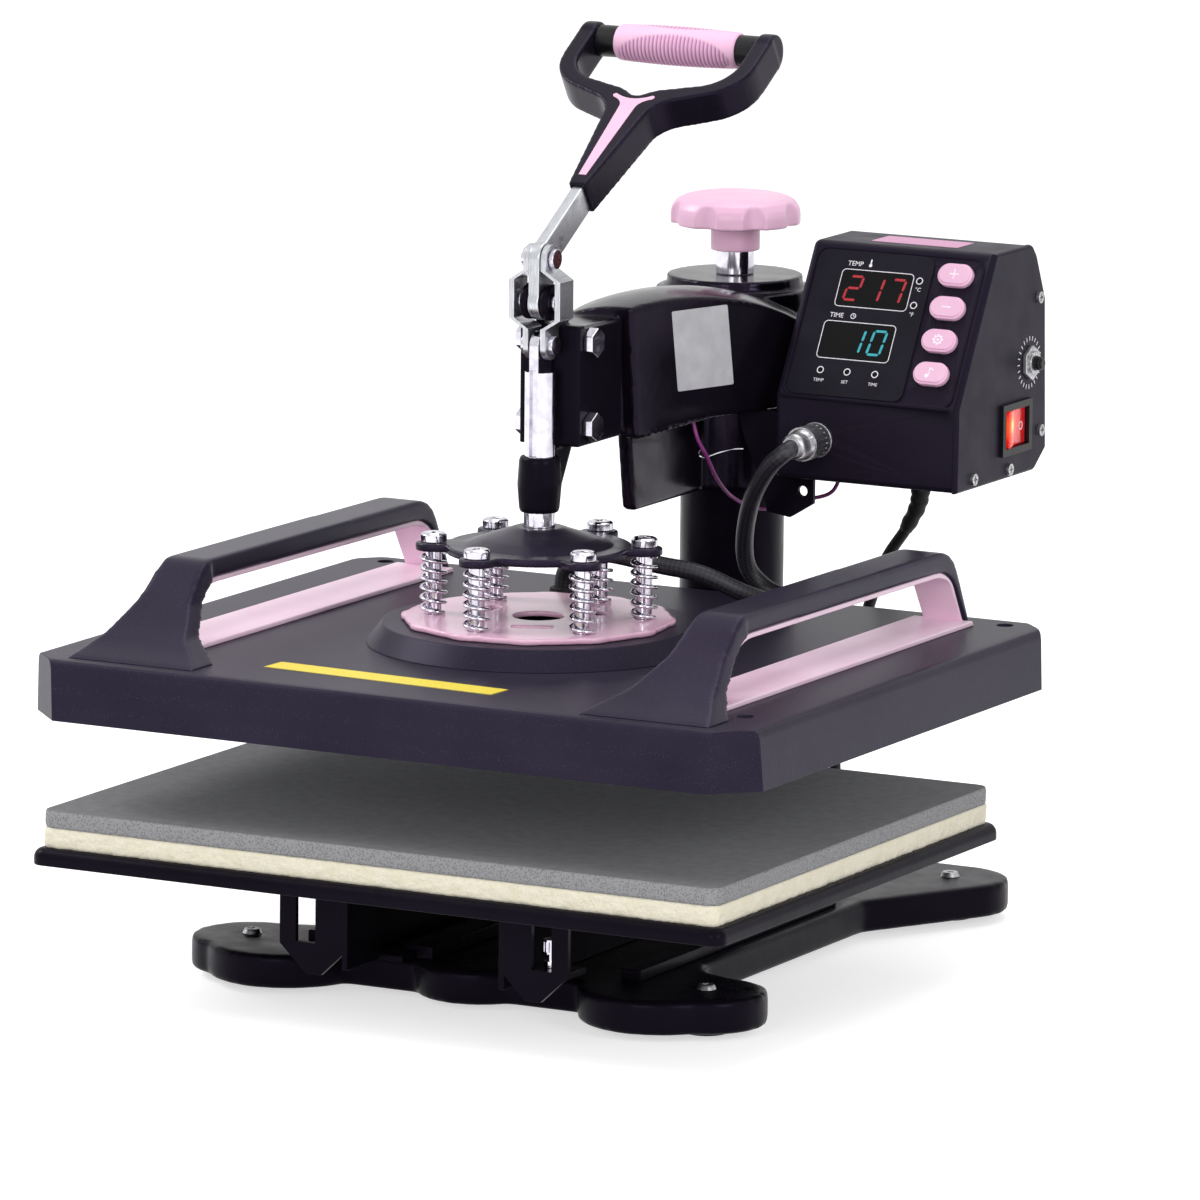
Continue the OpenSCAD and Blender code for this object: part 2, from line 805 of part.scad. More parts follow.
module thumb_screw() {
  color(bright_steel)
    translate([thumb_x, thumb_y, 0]) {
      translate([0, 0, strap_z - 7])
        cylinder(r = thumb_r, h = thumb_z - strap_z + 7);
      translate([0, 0, strap_z - 8.5])
        cylinder(r1 = thumb_r - 1, r2 = thumb_r, h = 1.5);
      difference() {
        translate([0, 0, thumb_z])
          cylinder(r = thumb_head_r, h = thumb_head_h);
        for (a = [0 : 20 : 340])
          rotate([0, 0, a])
            translate([thumb_head_r, 0, thumb_z + 1])
              cylinder(r = 0.4, h = thumb_head_h - 2, $fn = 6);
      }
      translate([0, 0, strap_z + stand_skin + slide_gap])
        cylinder(r = thumb_r + 1.2, h = 3);
    }
}

module lower_plate() {
  color(black_paint)
    translate([0, plate_y, 0])
      difference() {
        translate([0, 0, plate_z])
          rounded_plate(plate_w, plate_d, plate_corner, plate_t);
        translate([0, 0, plate_z - 1])
          rounded_plate(
            plate_w - 2 * pad_inset, plate_d - 2 * pad_inset,
            plate_corner - pad_inset, plate_t - plate_skin + 1
          );
      }
}

module pad(z, t) {
  translate([0, plate_y, z])
    rounded_plate(plate_w - 2 * pad_inset, plate_d - 2 * pad_inset, plate_corner - pad_inset, t);
}

module felt_pad() {
  color(felt_cream)
    pad(plate_top, felt_t);
}

module silicone_pad() {
  color(sponge_grey)
    pad(felt_top, sponge_t);
}

// Swivel and arm
module swivel_sleeve() {
  sleeve_z = post_top - swivel_len;
  color(steel)
    translate([0, hub_y, 0])
      difference() {
        translate([0, 0, sleeve_z])
          cylinder(r = swivel_r, h = swivel_top - sleeve_z);
        translate([0, 0, sleeve_z - 1])
          cylinder(r = swivel_bore_r, h = swivel_len + slide_gap + 1);
        translate([0, 0, post_top])
          cylinder(r = screw_r + 2 * slide_gap, h = swivel_wall + 5);
      }
}

module arm_plan(inset) {
  slope_y = hub_y - 44;
  right = hub_r - inset;
  ring = hub_ring_r - inset;
  polygon([
    [-arm_left + inset, arm_front + inset], [arm_front_half - inset, arm_front + inset],
    [right, slope_y], [right, hub_y + 22], [right - 16, hub_y + 34 - inset / 2], [0, hub_y + ring],
    [-ring, hub_y], [-arm_left - 6 + inset, hub_y - 80]
  ]);
  translate([0, hub_y])
    circle(r = ring);
}

module arm_side(drop) {
  rear = hub_y + hub_r + 1;
  polygon([
    [arm_front + arm_lean, arm_z - drop], [arm_front + 56, arm_z + 6 - drop], [rear, arm_z + 6 - drop],
    [rear, hub_top], [hub_y - boss_r - 2, hub_top], [hub_y - boss_r - 8, arm_top - 8],
    [hub_y - boss_r - 22, arm_top + 5], [arm_front, arm_top + 5]
  ]);
}

module arm_shell(inset, drop) {
  ridge_y = arm_front + 44;
  intersection() {
    translate([0, 0, arm_z - 40])
      linear_extrude(arm_h + 60)
        arm_plan(inset);
    along_x(-hub_r - 1, hub_r + 1)
      arm_side(drop);
    translate([crest_x, ridge_y, arm_top - crown_r])
      rotate([-90, 0, 0])
        rotate_extrude($fn = 128)
          intersection() {
            translate([crown_r - ridge_r, 0])
              circle(r = ridge_r, $fn = 128);
            translate([0, -ridge_r / 2])
              square([crown_r + 1, ridge_r]);
          }
  }
}

module arm_casting() {
  web_half = 3.5;
  web_front_y = hub_y - 114;
  web_z = arm_z - 42;
  color(black_paint)
    difference() {
      union() {
        difference() {
          arm_shell(0, 0);
          translate([0, 0, -arm_wall])
            arm_shell(arm_wall, 20);
        }
        translate([0, hub_y, hub_z])
          cylinder(r = hub_tube_r, h = hub_top - hub_z);
        translate([0, hub_y, hub_top])
          cylinder(r = boss_r, h = boss_top - hub_top);
        translate([-nose_half, web_back, nose_z])
          cube([2 * nose_half, arm_front + arm_lean + arm_wall - web_back, nose_top - nose_z]);
        along_x(-web_half, web_half)
          polygon([
            [web_front_y - 6, arm_z + 40], [web_front_y - 6, arm_z], [web_front_y, web_z + 2],
            [web_front_y + 3, web_z], [hub_y - swivel_r - 4, web_z], [hub_y - swivel_r - 4, arm_z + 40]
          ]);
      }
      translate([0, hub_y, hub_z - 60])
        cylinder(r = swivel_r + run_fit, h = hub_cap_z - hub_z + 60);
      translate([0, hub_y, hub_cap_z - 1])
        cylinder(r = screw_r + run_fit, h = 40);
      for (z = bolt_zs)
        rod_x(-nose_half - 1, nose_half + 1, bolt_y, z, bolt_r + run_fit);
    }
}

module clamp_bracket() {
  fin_half = 4;
  color(black_paint)
    difference() {
      union() {
        translate([-cheek_half, web_front, nose_z])
          cube([2 * cheek_half, web_back - web_front, nose_top + 2 - nose_z]);
        both_sides()
          translate([nose_half, web_front, nose_z])
            cube([cheek_t, cheek_back - web_front, nose_top - nose_z]);
        both_sides()
          along_x(ear_in, ear_out) {
            translate([press_y, pin_b_z])
              circle(r = ear_r);
            polygon([
              [press_y, pin_b_z + ear_r], [web_back - 4, pin_b_z + 5], [web_back, pin_b_z - 5],
              [web_back, nose_top], [web_front, nose_top], [web_front - 1.5, pin_b_z - 8],
              [press_y, pin_b_z - ear_r]
            ]);
          }
        along_x(-fin_half, fin_half)
          polygon([
            [web_front - 1, guide_top], [web_front, nose_z + 33], [web_back - 0.1, nose_z + 20],
            [web_back - 0.1, nose_z - 0.1], [web_back + 13, nose_z - 0.1],
            [web_back - 4, guide_z + 2], [press_y + 8, guide_z + 1], [press_y + 8, guide_top]
          ]);
        translate([0, press_y, guide_z])
          rotate_extrude()
            polygon([
              [0, 0], [plunger_r + 1.6, 0], [plunger_r + 2.4, 2], [plunger_r + 3.4, 14],
              [plunger_r + 2.6, 26], [plunger_r + 1.8, 28], [0, 28]
            ]);
      }
      translate([0, press_y, guide_z - 1])
        cylinder(r = guide_bore_r, h = 30);
      rod_x(-ear_out - 1, ear_out + 1, press_y, pin_b_z, pin_hole_r);
      for (z = bolt_zs)
        rod_x(-cheek_half - 1, cheek_half + 1, bolt_y, z, bolt_r + run_fit);
    }
}

module bracket_bolts() {
  head_h = 5;
  color(bright_steel)
    for (z = bolt_zs) {
      rod_x(-cheek_half - 1, cheek_half + 1, bolt_y, z, bolt_r);
      both_sides()
        translate([cheek_half, bolt_y, z])
          rotate([0, 90, 0])
            cylinder(r = bolt_af / sqrt(3), h = head_h, $fn = 6);
    }
}

module pivot_pin() {
  color(bright_steel) {
    rod_x(-ear_out - 1, ear_out + 1, press_y, pin_b_z, pin_r);
    both_sides()
      rod_x(ear_out, ear_out + pin_head_t, press_y, pin_b_z, pin_head_r);
  }
}

// Control box
module box_profile(inset) {
  d = inset;
  low = d * tan((90 - slant_angle) / 2);
  high = d * tan(slant_angle / 2);
  polygon([
    [box_y + d, box_z + d], [box_y + d, slant_z - low], [box_y + slant_d + high, box_z + box_h - d],
    [box_y + box_d - 20 - 0.3 * d, box_z + box_h - d],
    [box_y + box_d - 12 - 0.8 * d, box_z + box_h - 9 - 0.6 * d],
    [box_y + box_d - 3 - d, box_z + box_h - 28.5], [box_y + box_d - d, box_z + 11 + 0.4 * d],
    [box_y + box_d - 15 - 0.4 * d, box_z + d]
  ]);
}

// Moves children onto the slanted face, with v running up the face and +Z pointing out of it
module on_slant(x, v) {
  translate([box_x + x, box_y, slant_z])
    rotate([slant_angle, 0, 0])
      translate([0, v, 0])
        children();
}

module stadium(l, h) {
  square([l - h, h], center = true);
  for (side = [-1, 1])
    translate([side * (l - h) / 2, 0])
      circle(d = h);
}

module box_bracket() {
  pad_half = 20;
  sheet_y = box_y + 15;
  sheet_top = arm_z + 6;
  hole_x = box_x + 10;
  color(black_paint) {
    translate([hub_r, hub_y - pad_half, arm_z + 12])
      cube([box_gap, 2 * pad_half, 36]);
    difference() {
      translate([0, sheet_y, 0])
        rotate([90, 0, 0])
          linear_extrude(stand_skin)
            polygon([
              [box_x - 28, sheet_top], [box_x - 1, sheet_top], [box_x - 1, box_z], [box_x + 16, box_z],
              [box_x + 16, box_z - 14], [box_x + 3, box_z - 22], [box_x - 10, box_z - 20],
              [box_x - 15, box_z - 5], [box_x - 18, box_z + 5], [box_x - 23, box_z + 15]
            ]);
      translate([hole_x, sheet_y + 1, box_z - 8])
        rotate([90, 0, 0])
          cylinder(r = 2.6, h = stand_skin + 2);
    }
  }
}

module box_shell() {
  color(purple_paint)
    difference() {
      along_x(box_x, box_cover_x)
        box_profile(0);
      along_x(box_x + box_wall, box_cover_x + 1)
        box_profile(box_wall);
      for (i = [0 : 3])
        on_slant(button_x, button_v - i * button_pitch)
          translate([0, 0, -2 * box_wall])
            linear_extrude(4 * box_wall)
              stadium(button_l + 2 * slide_gap, button_h + 2 * slide_gap);
      translate([plug_x, box_y - 1, plug_z])
        rotate([-90, 0, 0])
          cylinder(r = plug_r - 1 + run_fit, h = box_wall + 4);
      translate([gland_x, gland_y, box_z - 1])
        cylinder(r = cord_r + 1.5 + run_fit, h = box_wall + 6);
    }
}

module box_side_cover() {
  color(purple_paint)
    difference() {
      along_x(box_cover_x, box_x_end)
        box_profile(0);
      translate([box_cover_x - 1, rocker_y - rocker_l / 2 - 2, rocker_z - rocker_w / 2 - 2])
        cube([box_wall + 2, rocker_l + 4, rocker_w + 4]);
      rod_x(box_cover_x - 1, box_x_end + 1, breaker_y, breaker_z, 6 + run_fit);
      for (s = side_screws)
        rod_x(box_cover_x - 1, box_x_end + 1, box_y + s[0], box_z + s[1], 1.5 + run_fit);
    }
}

module box_screws() {
  color(steel)
    for (s = side_screws) {
      rod_x(box_cover_x - 6, box_x_end, box_y + s[0], box_z + s[1], 1.5);
      difference() {
        rod_x(box_x_end, box_x_end + 1.6, box_y + s[0], box_z + s[1], 3);
        for (a = [0, 90])
          translate([box_x_end + 1.6, box_y + s[0], box_z + s[1]])
            rotate([a, 0, 0])
              cube([1.6, 3.6, 0.8], center = true);
      }
    }
}

module display_panel() {
  window_x = [20.8, 18];
  window_v = [49.5, 21.5];
  window_size = [39.5, 19.5];
  led_row = [22, 36.9, 52.3];
  color("#1b1824")
    difference() {
      on_slant(panel_x, 1.5)
        cube([panel_w, slant_len - 6, 0.8]);
      for (i = [0, 1])
        on_slant(window_x[i], window_v[i])
          translate([0, 0, 0.4])
            cube([window_size[0], window_size[1], 2]);
      for (x = led_row)
        on_slant(x, 14.8)
          translate([0, 0, 0.4])
            cylinder(r = 1.8, h = 2);
      for (v = [52.9, 66])
        on_slant(64, v)
          translate([0, 0, 0.4])
            cylinder(r = 1.8, h = 2);
    }
}

module control_board() {
  depth = box_wall + slide_gap + button_travel + 6.2;
  color(board_green) {
    on_slant(box_wall + 4, 6)
      translate([0, 0, -depth - 1.6])
        cube([box_w - 2 * box_wall - 8, slant_len - 16, 1.6]);
    for (x = [12, 66], v = [10, slant_len - 16])
      on_slant(x, v)
        translate([0, 0, -depth])
          cylinder(r = 2.5, h = depth - box_wall - 0.2);
    for (i = [0 : 3])
      on_slant(button_x, button_v - i * button_pitch)
        translate([-3, -3, -depth])
          cube([6, 6, 3]);
  }
}

// A push button: a shank through the face with a wider flange behind it
module push_button(i) {
  flange = 1.2;
  color(pink_plastic)
    on_slant(button_x, button_v - i * button_pitch) {
      translate([0, 0, -box_wall - slide_gap])
        linear_extrude(box_wall + slide_gap + 2.5)
          stadium(button_l, button_h);
      translate([0, 0, -box_wall - slide_gap - flange])
        linear_extrude(flange)
          stadium(button_l + 3, button_h + 3);
      translate([0, 0, 2.5])
        linear_extrude(0.8)
          stadium(button_l - 2, button_h - 2);
    }
}

module button_plus() {
  push_button(0);
}

module button_minus() {
  push_button(1);
}

module button_set() {
  push_button(2);
}

module button_sound() {
  push_button(3);
}

module switch_frame() {
  lip = 3.5;
  body_x = box_x_end - 22;
  color(rubber_black)
    difference() {
      union() {
        translate([box_x_end, rocker_y - rocker_l / 2 - lip, rocker_z - rocker_w / 2 - lip])
          cube([2, rocker_l + 2 * lip, rocker_w + 2 * lip]);
        translate([body_x, rocker_y - rocker_l / 2 - 2, rocker_z - rocker_w / 2 - 2])
          cube([22, rocker_l + 4, rocker_w + 4]);
      }
      translate([box_x_end - 14, rocker_y - rocker_l / 2, rocker_z - rocker_w / 2])
        cube([20, rocker_l, rocker_w]);
      translate([rocker_axle_x, rocker_y, rocker_z - rocker_w / 2 - 1.5])
        cylinder(r = 1.5 + run_fit, h = rocker_w + 3);
    }
}

module power_rocker() {
  half_l = rocker_l / 2 - 2 * slide_gap - 0.6;
  half_w = rocker_w / 2 - slide_gap;
  color(signal_red)
    translate([rocker_axle_x, rocker_y, rocker_z]) {
      translate([0, 0, -half_w])
        rotate([0, 0, rocker_tilt])
          linear_extrude(2 * half_w)
            polygon([
              [-4, -4], [-4, 4], [2.2, half_l], [4.6, half_l], [3, 0], [4.6, -half_l], [2.2, -half_l]
            ]);
      translate([0, 0, -half_w - slide_gap - 1])
        cylinder(r = 1.5, h = 2 * (half_w + slide_gap + 1));
    }
}

module breaker_body() {
  color(steel)
    difference() {
      union() {
        rod_x(box_x_end - 18, box_x_end + 4, breaker_y, breaker_z, 6);
        translate([box_x_end, breaker_y, breaker_z])
          rotate([0, 90, 0])
            cylinder(r = 9, h = 2.5, $fn = 6);
      }
      rod_x(box_x_end - 10, box_x_end + 5, breaker_y, breaker_z, breaker_r + run_fit);
    }
}

module breaker_button() {
  color(rubber_black) {
    rod_x(box_x_end - 6, box_x_end + 7, breaker_y, breaker_z, breaker_r);
    rod_x(box_x_end + 7, box_x_end + 8, breaker_y, breaker_z, breaker_r - 0.8);
  }
}

module connector_socket() {
  color(steel)
    translate([plug_x, box_y, plug_z])
      rotate([90, 0, 0])
        difference() {
          union() {
            cylinder(r = plug_r + 3, h = 2);
            cylinder(r = plug_r, h = 14);
            translate([0, 0, -box_wall - 3])
              cylinder(r = plug_r - 1, h = box_wall + 3);
          }
          translate([0, 0, 8])
            cylinder(r = plug_r - 1.5, h = 10);
        }
}

module coupling_ring() {
  ring_r = plug_r + 2.5;
  ring_l = 15;
  ring_y = 2 + slide_gap;
  color(bright_steel)
    translate([plug_x, box_y, plug_z])
      rotate([90, 0, 0])
        difference() {
          union() {
            translate([0, 0, ring_y])
              cylinder(r = ring_r, h = ring_l);
            translate([0, 0, ring_y + ring_l])
              cylinder(r1 = ring_r - 1, r2 = cable_r + 1.5, h = 6);
          }
          translate([0, 0, -1])
            cylinder(r = plug_r + run_fit, h = 16.5);
          translate([0, 0, 14])
            cylinder(r = cable_r + slide_gap, h = 20);
          for (a = [0 : 18 : 342])
            rotate([0, 0, a])
              translate([ring_r, 0, ring_y + 3])
                cylinder(r = 0.6, h = ring_l - 6, $fn = 6);
        }
}

module cord_gland() {
  color(rubber_black)
    translate([gland_x, gland_y, 0])
      difference() {
        union() {
          translate([0, 0, box_z - 3])
            cylinder(r = cord_r + 4, h = 3);
          translate([0, 0, box_z - 14])
            cylinder(r1 = cord_r + 1, r2 = cord_r + 2.5, h = 11);
          translate([0, 0, box_z])
            cylinder(r = cord_r + 1.5, h = box_wall + 2);
        }
        translate([0, 0, box_z - 20])
          cylinder(r = cord_r + slide_gap, h = 40);
      }
}

module probe_lead() {
  color(lead_magenta)
    tube(lead_path, lead_r, [0, 1, 0], 8);
}

module heater_cable() {
  color(rubber_black)
    tube(heater_path, cable_r, [0, 0, 1], 8);
}

// Pressure knob
module pressure_knob() {
  flute_r = knob_r / 4;
  color(pink_plastic)
    translate([0, hub_y, 0]) {
      translate([0, 0, knob_z])
        cylinder(r = 12.5, h = knob_stem_h + 1);
      translate([0, 0, knob_head_z])
        difference() {
          rotate_extrude()
            polygon([
              [0, 0], [knob_r, 0], [knob_r, knob_h * 0.5], [knob_r - 0.8, knob_h * 0.75], [knob_r - 3, knob_h],
              [knob_r - 6.5, knob_h + 1.7], [knob_r - 11, knob_h + 2.7], [0, knob_h + 3]
            ]);
          for (i = [1 : knob_lobes])
            rotate(360 * i / knob_lobes)
              translate([knob_r + flute_r * 0.62, 0, -1])
                cylinder(r = flute_r, h = knob_h + 5);
        }
    }
}

module pressure_screw() {
  color(bright_steel)
    translate([0, hub_y, 0]) {
      translate([0, 0, post_top - post_plug_h + 4])
        cylinder(r = screw_r, h = boss_top + slide_gap + 1 - post_top + post_plug_h - 4);
      translate([0, 0, boss_top + slide_gap])
        cylinder(r = 9.75, h = screw_collar_h);
    }
}

// Toggle lever, links and plunger
// Moves children to the lever pin, with +X of the sketch across and +Y along the handle
module on_handle() {
  translate([0, press_y, pin_a_z])
    rotate([handle_lean, 0, 0])
      children();
}

module lever_bar() {
  half = lever_t / 2;
  lever_half_w = 8;
  color(bright_steel)
    difference() {
      union() {
        rod_x(-half, half, press_y, pin_b_z, ear_r);
        rod_x(-half, half, press_y, pin_a_z, ear_r - 1);
        translate([-half, press_y - lever_half_w, pin_b_z])
          cube([lever_t, 2 * lever_half_w, pin_a_z - pin_b_z]);
        on_handle()
          translate([-half, 0, -lever_half_w])
            cube([lever_t, lever_end, 2 * lever_half_w - 1]);
      }
      rod_x(-half - 1, half + 1, press_y, pin_b_z, pin_hole_r);
      rod_x(-half - 1, half + 1, press_y, pin_a_z, pin_r + run_fit / 2);
    }
}

module lever_pin() {
  head_x = link_out + slide_gap;
  color(bright_steel) {
    rod_x(-head_x - 1, head_x + 1, press_y, pin_a_z, pin_r);
    both_sides()
      rod_x(head_x, head_x + pin_head_t, press_y, pin_a_z, pin_head_r);
  }
}

// Points of an outline whose corners are rounded over the reach that each gives as its third number
function soft(points) = [
  for (i = [0 : len(points) - 1])
    let (
      n = len(points), p = [points[i].x, points[i].y],
      a = [points[(i + n - 1) % n].x, points[(i + n - 1) % n].y] - p,
      b = [points[(i + 1) % n].x, points[(i + 1) % n].y] - p,
      reach = min(points[i].z, norm(a) * 0.48, norm(b) * 0.48)
    )
      for (t = reach > 0 ? [0 : 0.25 : 1] : [0.5])
        p + reach * ((1 - t) * (1 - t) * a / norm(a) + t * t * b / norm(b))
];

module frame_outline() {
  w = frame_half_w;
  difference() {
    polygon(soft([
      [-5, frame_start, 0], [5, frame_start, 0], [12, fork_s, 9], [18, fork_s + 7, 9],
      [w - 9, fork_s + 18, 9], [w, fork_s + 31, 9],
      [w, handle_len, 0], [-w, handle_len, 0], [-w, fork_s + 31, 9], [9 - w, fork_s + 18, 9],
      [-18, fork_s + 7, 9], [-12, fork_s, 9]
    ]));
    polygon(soft([
      [0, fork_s + 9, 4], [8, fork_s + 15, 6], [w - frame_arm - 8, fork_s + 23, 7],
      [w - frame_arm, fork_s + 34, 7], [w - frame_arm, handle_len + 1, 0],
      [frame_arm - w, handle_len + 1, 0], [frame_arm - w, fork_s + 34, 7],
      [8 + frame_arm - w, fork_s + 23, 7], [-8, fork_s + 15, 6]
    ]));
  }
}

module inlay_outline() {
  polygon([
    [-2, frame_start + 7], [2, frame_start + 7], [4.5, fork_s - 8], [9.5, fork_s + 7], [7, fork_s + 9.5],
    [0, fork_s + 3], [-7, fork_s + 9.5], [-9.5, fork_s + 7], [-4.5, fork_s - 8]
  ]);
}

module handle_frame() {
  inlay_depth = 1.5;
  color(purple_paint)
    difference() {
      union() {
        on_handle()
          translate([0, 0, -frame_t / 2])
            linear_extrude(frame_t)
              frame_outline();
        both_sides()
          rod_x(frame_half_w - frame_arm + 0.5, frame_half_w - 0.5, grip_y, grip_z, frame_t / 2 + 0.5);
      }
      on_handle() {
        translate([-lever_t / 2 - run_fit, frame_start - 1, -8 - run_fit])
          cube([lever_t + 2 * run_fit, lever_end - frame_start + 1 + run_fit, 15 + 2 * run_fit]);
        translate([0, 0, frame_t / 2 - inlay_depth])
          linear_extrude(5)
            inlay_outline();
      }
      rod_x(-frame_half_w + 3, frame_half_w - 3, grip_y, grip_z, tube_r + run_fit);
    }
}

module handle_inlay() {
  color(pink_plastic)
    on_handle()
      translate([0, 0, frame_t / 2 - 1.5])
        linear_extrude(1.8)
          inlay_outline();
}

module handle_tube() {
  color(rubber_black) {
    rod_x(-frame_half_w + 3, frame_half_w - 3, grip_y, grip_z, tube_r);
    both_sides()
      rod_x(grip_half, frame_half_w - frame_arm, grip_y, grip_z, grip_r - 2);
  }
}

module grip_sleeve() {
  color(pink_plastic)
    translate([0, grip_y, grip_z])
      rotate([0, 90, 0])
        rotate_extrude()
          polygon([
            [tube_r + run_fit, -grip_half], [grip_r - 1.2, -grip_half], [grip_r - 0.3, -grip_half * 0.5],
            [grip_r, 0], [grip_r - 0.3, grip_half * 0.5], [grip_r - 1.2, grip_half],
            [tube_r + run_fit, grip_half]
          ]);
}

// One link strip as a front view, bowed out round the fixed pivot
module link_strip() {
  low = [pin_b_z - 13, pin_b_z - 8];
  high = [pin_b_z + 11, pin_b_z + 16];
  bow_in = link_in + link_step;
  bow_out = link_out + link_step;
  polygon([
    [link_in, pin_c_z - link_w / 2], [link_out, pin_c_z - link_w / 2], [link_out, low[0]],
    [bow_out, low[1]], [bow_out, high[0]], [link_out, high[1]], [link_out, pin_a_z + link_w / 2],
    [link_in, pin_a_z + link_w / 2], [link_in, high[1]], [bow_in, high[0]], [bow_in, low[1]],
    [link_in, low[0]]
  ]);
}

module link_outline() {
  translate([press_y, pin_c_z])
    circle(d = link_w);
  translate([press_y, pin_a_z])
    circle(d = link_w);
  translate([press_y - link_w / 2, pin_c_z])
    square([link_w, pin_a_z - pin_c_z]);
}

module link_plates() {
  color(bright_steel)
    both_sides()
      difference() {
        intersection() {
          translate([0, press_y + link_w, 0])
            rotate([90, 0, 0])
              linear_extrude(2 * link_w)
                link_strip();
          along_x(0, link_out + link_step + 1)
            link_outline();
        }
        rod_x(0, link_out + 1, press_y, pin_a_z, pin_hole_r);
        rod_x(0, link_out + 1, press_y, pin_c_z, pin_r + run_fit / 2);
      }
}

module link_rivets() {
  color(bright_steel)
    both_sides() {
      rod_x(link_in, link_out + 1, press_y, pin_c_z, pin_r);
      rod_x(link_out, link_out + pin_head_t, press_y, pin_c_z, pin_head_r);
    }
}

module plunger_rod() {
  groove_w = 4;
  groove_d = 2;
  rod_z = dome_top - 6;
  color(bright_steel)
    difference() {
      union() {
        translate([0, press_y, rod_z])
          cylinder(r = plunger_r, h = shoulder_z - rod_z);
        along_x(-tongue_half, tongue_half) {
          translate([press_y - link_w / 2, shoulder_z - 1])
            square([link_w, pin_c_z - shoulder_z + 1]);
          translate([press_y, pin_c_z])
            circle(d = link_w);
        }
      }
      translate([-groove_w / 2, press_y - plunger_r - 1, guide_top])
        cube([groove_w, groove_d + 1, shoulder_z - guide_top + 1]);
      rod_x(-tongue_half - 1, tongue_half + 1, press_y, pin_c_z, pin_r + 0.5);
    }
}

module spring_places() {
  for (i = [0 : spring_n - 1])
    translate([0, press_y, 0])
      rotate([0, 0, spring_start + 360 * i / spring_n])
        translate([spring_ring_r, 0, 0])
          children();
}

module spider_plate() {
  arm_r = 9;
  hub = 46;
  dome_r = 36;
  color(purple_paint)
    difference() {
      union() {
        translate([0, press_y, spider_z])
          cylinder(r = hub, h = spider_t);
        spring_places()
          translate([0, 0, spider_z])
            linear_extrude(spider_t) {
              circle(r = arm_r);
              translate([-spring_ring_r + hub - 6, -arm_r])
                square([spring_ring_r - hub + 6, 2 * arm_r]);
            }
        translate([0, press_y, spider_top])
          rotate_extrude()
            polygon([
              [0, -1], [dome_r, -1], [dome_r, 0.3], [dome_r - 8, 3.6], [18, 6.8], [12, dome_h], [0, dome_h]
            ]);
      }
      translate([0, press_y, dome_top - 6])
        cylinder(r = plunger_r + run_fit / 2, h = 10);
      spring_places()
        translate([0, 0, spider_z - 1])
          cylinder(r = shoulder_r + slide_gap, h = spider_t + 2);
    }
}

// Heating platen
module cover_plan(inset) {
  w = cover_half_w - inset;
  d = cover_d / 2 - inset;
  c = cover_cut;
  translate([0, cover_y])
    polygon([
      [-w, -d + c], [-w + c, -d], [w - c, -d], [w, -d + c],
      [w, d - c], [w - c, d], [-w + c, d], [-w, d - c]
    ]);
}

// Half section of the cover's side: a leaning wall with a rounded top edge
function side_points(half) = [
  [half, platen_z - 1], [half, platen_z], [half - 0.8 * cover_draft, cover_top - 5],
  [half - cover_draft - 0.4, cover_top - 2], [half - cover_draft - 2, cover_top - 0.4],
  [half - cover_draft - 5, cover_top]
];

module cover_side(half) {
  right = side_points(half);
  left = [for (i = [len(right) - 1 : -1 : 0]) [-right[i][0], right[i][1]]];
  polygon(concat(right, left));
}

module corner_places() {
  for (side = [-1, 1], y = [cover_front + corner_in_front, cover_back - corner_in_back])
    translate([side * (cover_half_w - corner_in_x), y, 0])
      children();
}

module platen_cover() {
  color(purple_paint)
    difference() {
      union() {
        difference() {
          intersection() {
            translate([0, 0, platen_z])
              linear_extrude(cover_h)
                cover_plan(0);
            translate([0, cover_back + 1, 0])
              rotate([90, 0, 0])
                linear_extrude(cover_d + 2)
                  cover_side(cover_half_w);
            translate([0, cover_y, 0])
              along_x(-cover_half_w - 1, cover_half_w + 1)
                cover_side(cover_d / 2);
          }
          translate([0, 0, platen_z - 1])
            linear_extrude(cover_h - cover_wall + 1)
              cover_plan(cover_wall + cover_draft);
        }
        corner_places()
          translate([0, 0, platen_z + heat_t])
            cylinder(r = 6, h = cover_h - heat_t - 1);
      }
      corner_places() {
        translate([0, 0, platen_z])
          cylinder(r = 2 + run_fit, h = cover_h + 1);
        translate([0, 0, cover_top - 4])
          cylinder(r = 4.2, h = 5);
      }
      translate([heater_end[0], heater_end[1], cover_top - cover_wall - 1])
        cylinder(r = cable_r + 5, h = cover_wall + 2);
    }
}

module cover_screws() {
  color(steel)
    corner_places() {
      translate([0, 0, platen_z + 4])
        cylinder(r = 2, h = cover_h - 8);
      difference() {
        translate([0, 0, cover_top - 4])
          cylinder(r = 3.8, h = 2.4);
        for (a = [0, 90])
          rotate([0, 0, a])
            translate([-2.4, -0.5, cover_top - 2.6])
              cube([4.8, 1, 2]);
      }
    }
}

module handle_window(inset) {
  lean = leg_lean * (bar_t + 2) / bar_rise;
  polygon(soft([
    [window_front + 2.4 * inset, cover_top + inset, 0],
    [window_front + window_slope + 0.4 * inset, bar_under - inset, 8],
    [window_back - leg_lean - 6 - inset, bar_under - bar_fall - inset, 5],
    [window_back - leg_lean + lean - inset, bar_under - bar_fall - 6, 5],
    [window_back - 1.2 * inset, cover_top + inset, 0]
  ]));
}

// Side view of a handle: a hollow curve up from the front foot, the bar, and the leaning rear leg
module handle_side() {
  polygon(soft([
    [leg_front, cover_top, 0], [leg_front + 14, cover_top + 6, 5], [leg_front + 30, cover_top + 15, 8],
    [leg_front + 46, cover_top + 26, 8], [bar_front - 8, bar_top - 5, 6], [bar_front, bar_top, 6],
    [leg_back - leg_lean - 1, bar_top - bar_fall, 14], [leg_back, cover_top, 0]
  ]));
}

